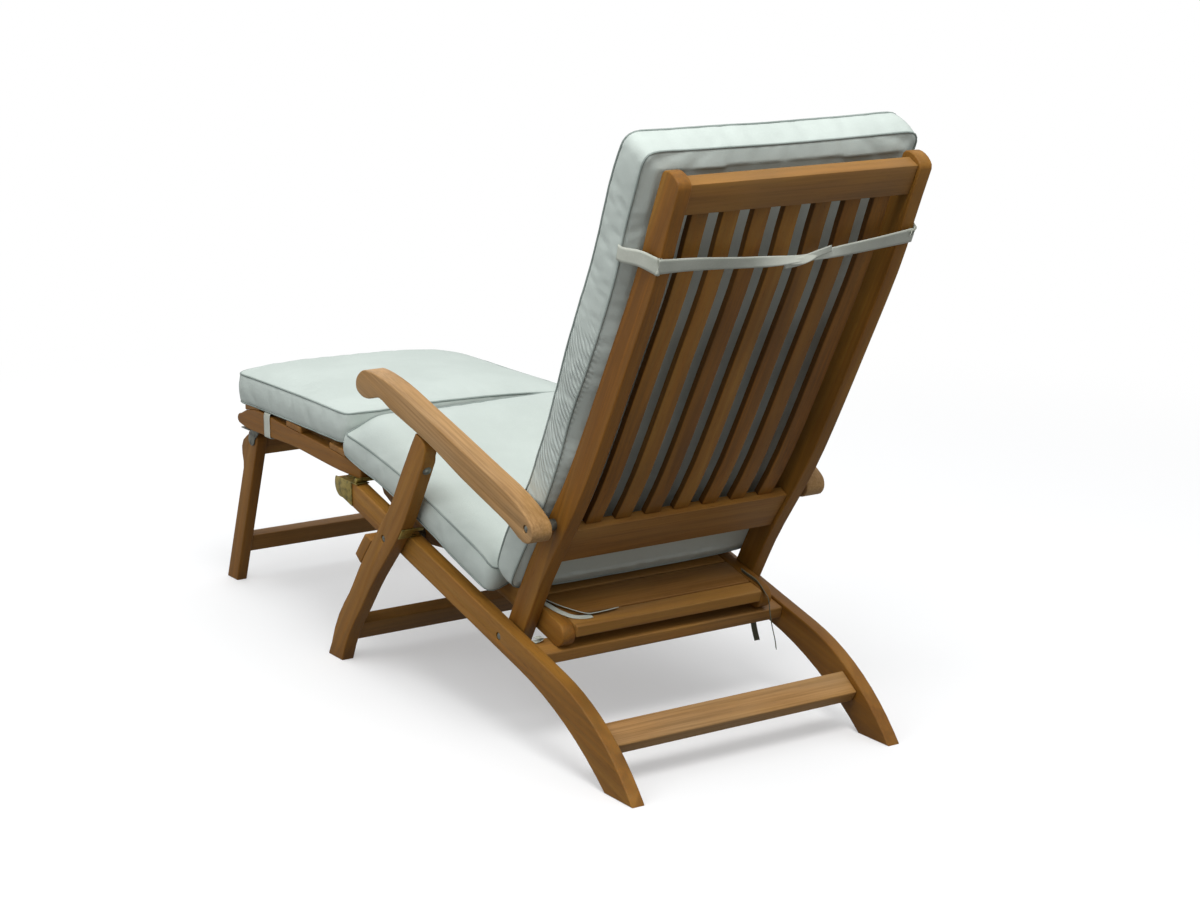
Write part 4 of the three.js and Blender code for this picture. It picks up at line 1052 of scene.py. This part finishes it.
# Two more hang by the right seat rail, one from spots on the slats, and a stub lies on the cross rail.
# Spots on the slats are in millimetres, all other places in metres
hangingLook = {
    "top": [(-196, 402), (-197, 420), (-199, 445)], "lift": 0.003, "topWide": (0.35, 0.1, 0.6),
    "long": [(-0.2, 0.461, 0.207), (-0.202, 0.467, 0.196), (-0.205, 0.468, 0.17), (-0.211, 0.467, 0.145),
             (-0.219, 0.465, 0.12), (-0.2225, 0.464, 0.103)],
    "longWide": (0.6, 1.0, 0.1),
    "short": [(-0.2195, 0.390, 0.205), (-0.2205, 0.391, 0.18), (-0.223, 0.3915, 0.15), (-0.2285, 0.392, 0.12),
              (-0.235, 0.392, 0.097)],
    "shortWide": (0.75, -0.5, 0.0), "width": 0.01,
}
tieWidth = hangingLook["width"]
hanging = [(onSlats(*spot) + seatFrame.up * hangingLook["lift"], Vector(hangingLook["topWide"]), tieWidth)
           for spot in hangingLook["top"]]
hanging += [(Vector(spot), Vector(hangingLook["longWide"]), tieWidth) for spot in hangingLook["long"]]
looseTape("tie_hanging_long", hanging, "base", tieFinish)
shortTie = [(Vector(spot), Vector(hangingLook["shortWide"]), tieWidth) for spot in hangingLook["short"]]
looseTape("tie_hanging_short", shortTie, "base", tieFinish)
stubLook = {
    "above": (0.24, 0.41, 0.3), "wide": (0.1, 1.0, 0.0), "width": 0.012,
    "steps": ((0.006, 0.0, 0.0007), (-0.001, 0.001, 0.0015), (-0.008, 0.002, 0.004), (-0.009, 0.002, 0.007),
              (-0.002, 0.003, 0.0085), (0.004, 0.004, 0.008)),
}
place, normal = landOn(["seat_cross_rail"], Vector(stubLook["above"]), Vector((0.0, 0.0, -1.0)))
stub = [(place + Vector(step), Vector(stubLook["wide"]), stubLook["width"]) for step in stubLook["steps"]]
looseTape("tie_stub", stub, "base")
print("hardware and ties placed")

# Plain pale floor and soft studio light
white = (1.0, 1.0, 1.0)
stageLook = {
    "size": 14.0, "floor": (0.88, 0.88, 0.88), "veil": 0.35, "bounce": (0.22, 0.22, 0.22), "clear": (1.4, 3.2),
    "zenith": 0.97, "horizon": 0.28, "skyRise": (0.0, 0.9), "tint": (0.97, 0.985, 1.0),
}
lamps = {
    "key": {"place": (0.9, 2.3, 4.0), "aim": (0.0, 0.1, 0.3), "power": 102.0, "size": 1.7},
    "side": {"place": (3.6, 0.4, 2.4), "aim": (0.0, 0.0, 0.4), "power": 32.0, "size": 2.4},
    "front": {"place": (-0.7, -3.4, 2.2), "aim": (0.0, 0.0, 0.5), "power": 22.0, "size": 2.4},
}


# Rays that come from the camera straight, mirrored or through glass, and those that come straight
def seenRays(finish):
    direct, mirrored, passed = (finish.node("LightPath", out="Is %s Ray" % kind)
                                for kind in ("Camera", "Glossy", "Transmission"))
    return direct.maths("MAXIMUM", direct, mirrored.maths("MAXIMUM", mirrored, passed)), direct


half = stageLook["size"]
floor = meshPiece("floor", [(-half, -half, 0.0), (half, -half, 0.0), (half, half, 0.0), (-half, half, 0.0)],
                  [(0, 1, 2, 3)])
pale = Finish("pale_floor")
place = pale.node("TexCoord", out="Object")
distance = pale.node("VectorMath", {"operation": "LENGTH"}, {0: place}, out="Value")
seen, direct = seenRays(pale)
matt = pale.node("BsdfDiffuse", {}, {"Color": pale.mix(direct, stageLook["bounce"], stageLook["floor"])})
bright = pale.node("Emission", {}, {"Color": white, "Strength": 1.0})
far = (pale.fade(distance, *stageLook["clear"]) * (1.0 - stageLook["veil"]) + stageLook["veil"]) * seen
pale.node("OutputMaterial", {}, {"Surface": pale.node("MixShader", {}, {0: far, 1: matt, 2: bright})})
floor.data.materials.append(pale.material)

world = bpy.data.worlds.new("studio")
bpy.context.scene.world = world
world.use_nodes = True
sky = Finish("studio", world.node_tree)
seen, direct = seenRays(sky)
rise = sky.node("TexCoord", out="Generated").dot((0.0, 0.0, 1.0))
glow = sky.fade(rise, *stageLook["skyRise"])
glow = glow * (stageLook["zenith"] - stageLook["horizon"]) + stageLook["horizon"]
lit = sky.node("Background", {}, {"Color": stageLook["tint"], "Strength": glow})
plain = sky.node("Background", {}, {"Color": white, "Strength": 1.0})
sky.node("OutputWorld", {}, {"Surface": sky.node("MixShader", {}, {0: seen, 1: lit, 2: plain})})

for name, look in lamps.items():
    data = bpy.data.lights.new(name + "_light", "AREA")
    data.energy = look["power"]
    data.size = look["size"]
    lamp = bpy.data.objects.new(name + "_light", data)
    lamp.location = look["place"]
    lamp.rotation_euler = (Vector(look["aim"]) - Vector(look["place"])).to_track_quat("-Z", "Y").to_euler()
    bpy.context.scene.collection.objects.link(lamp)
print("stage set")
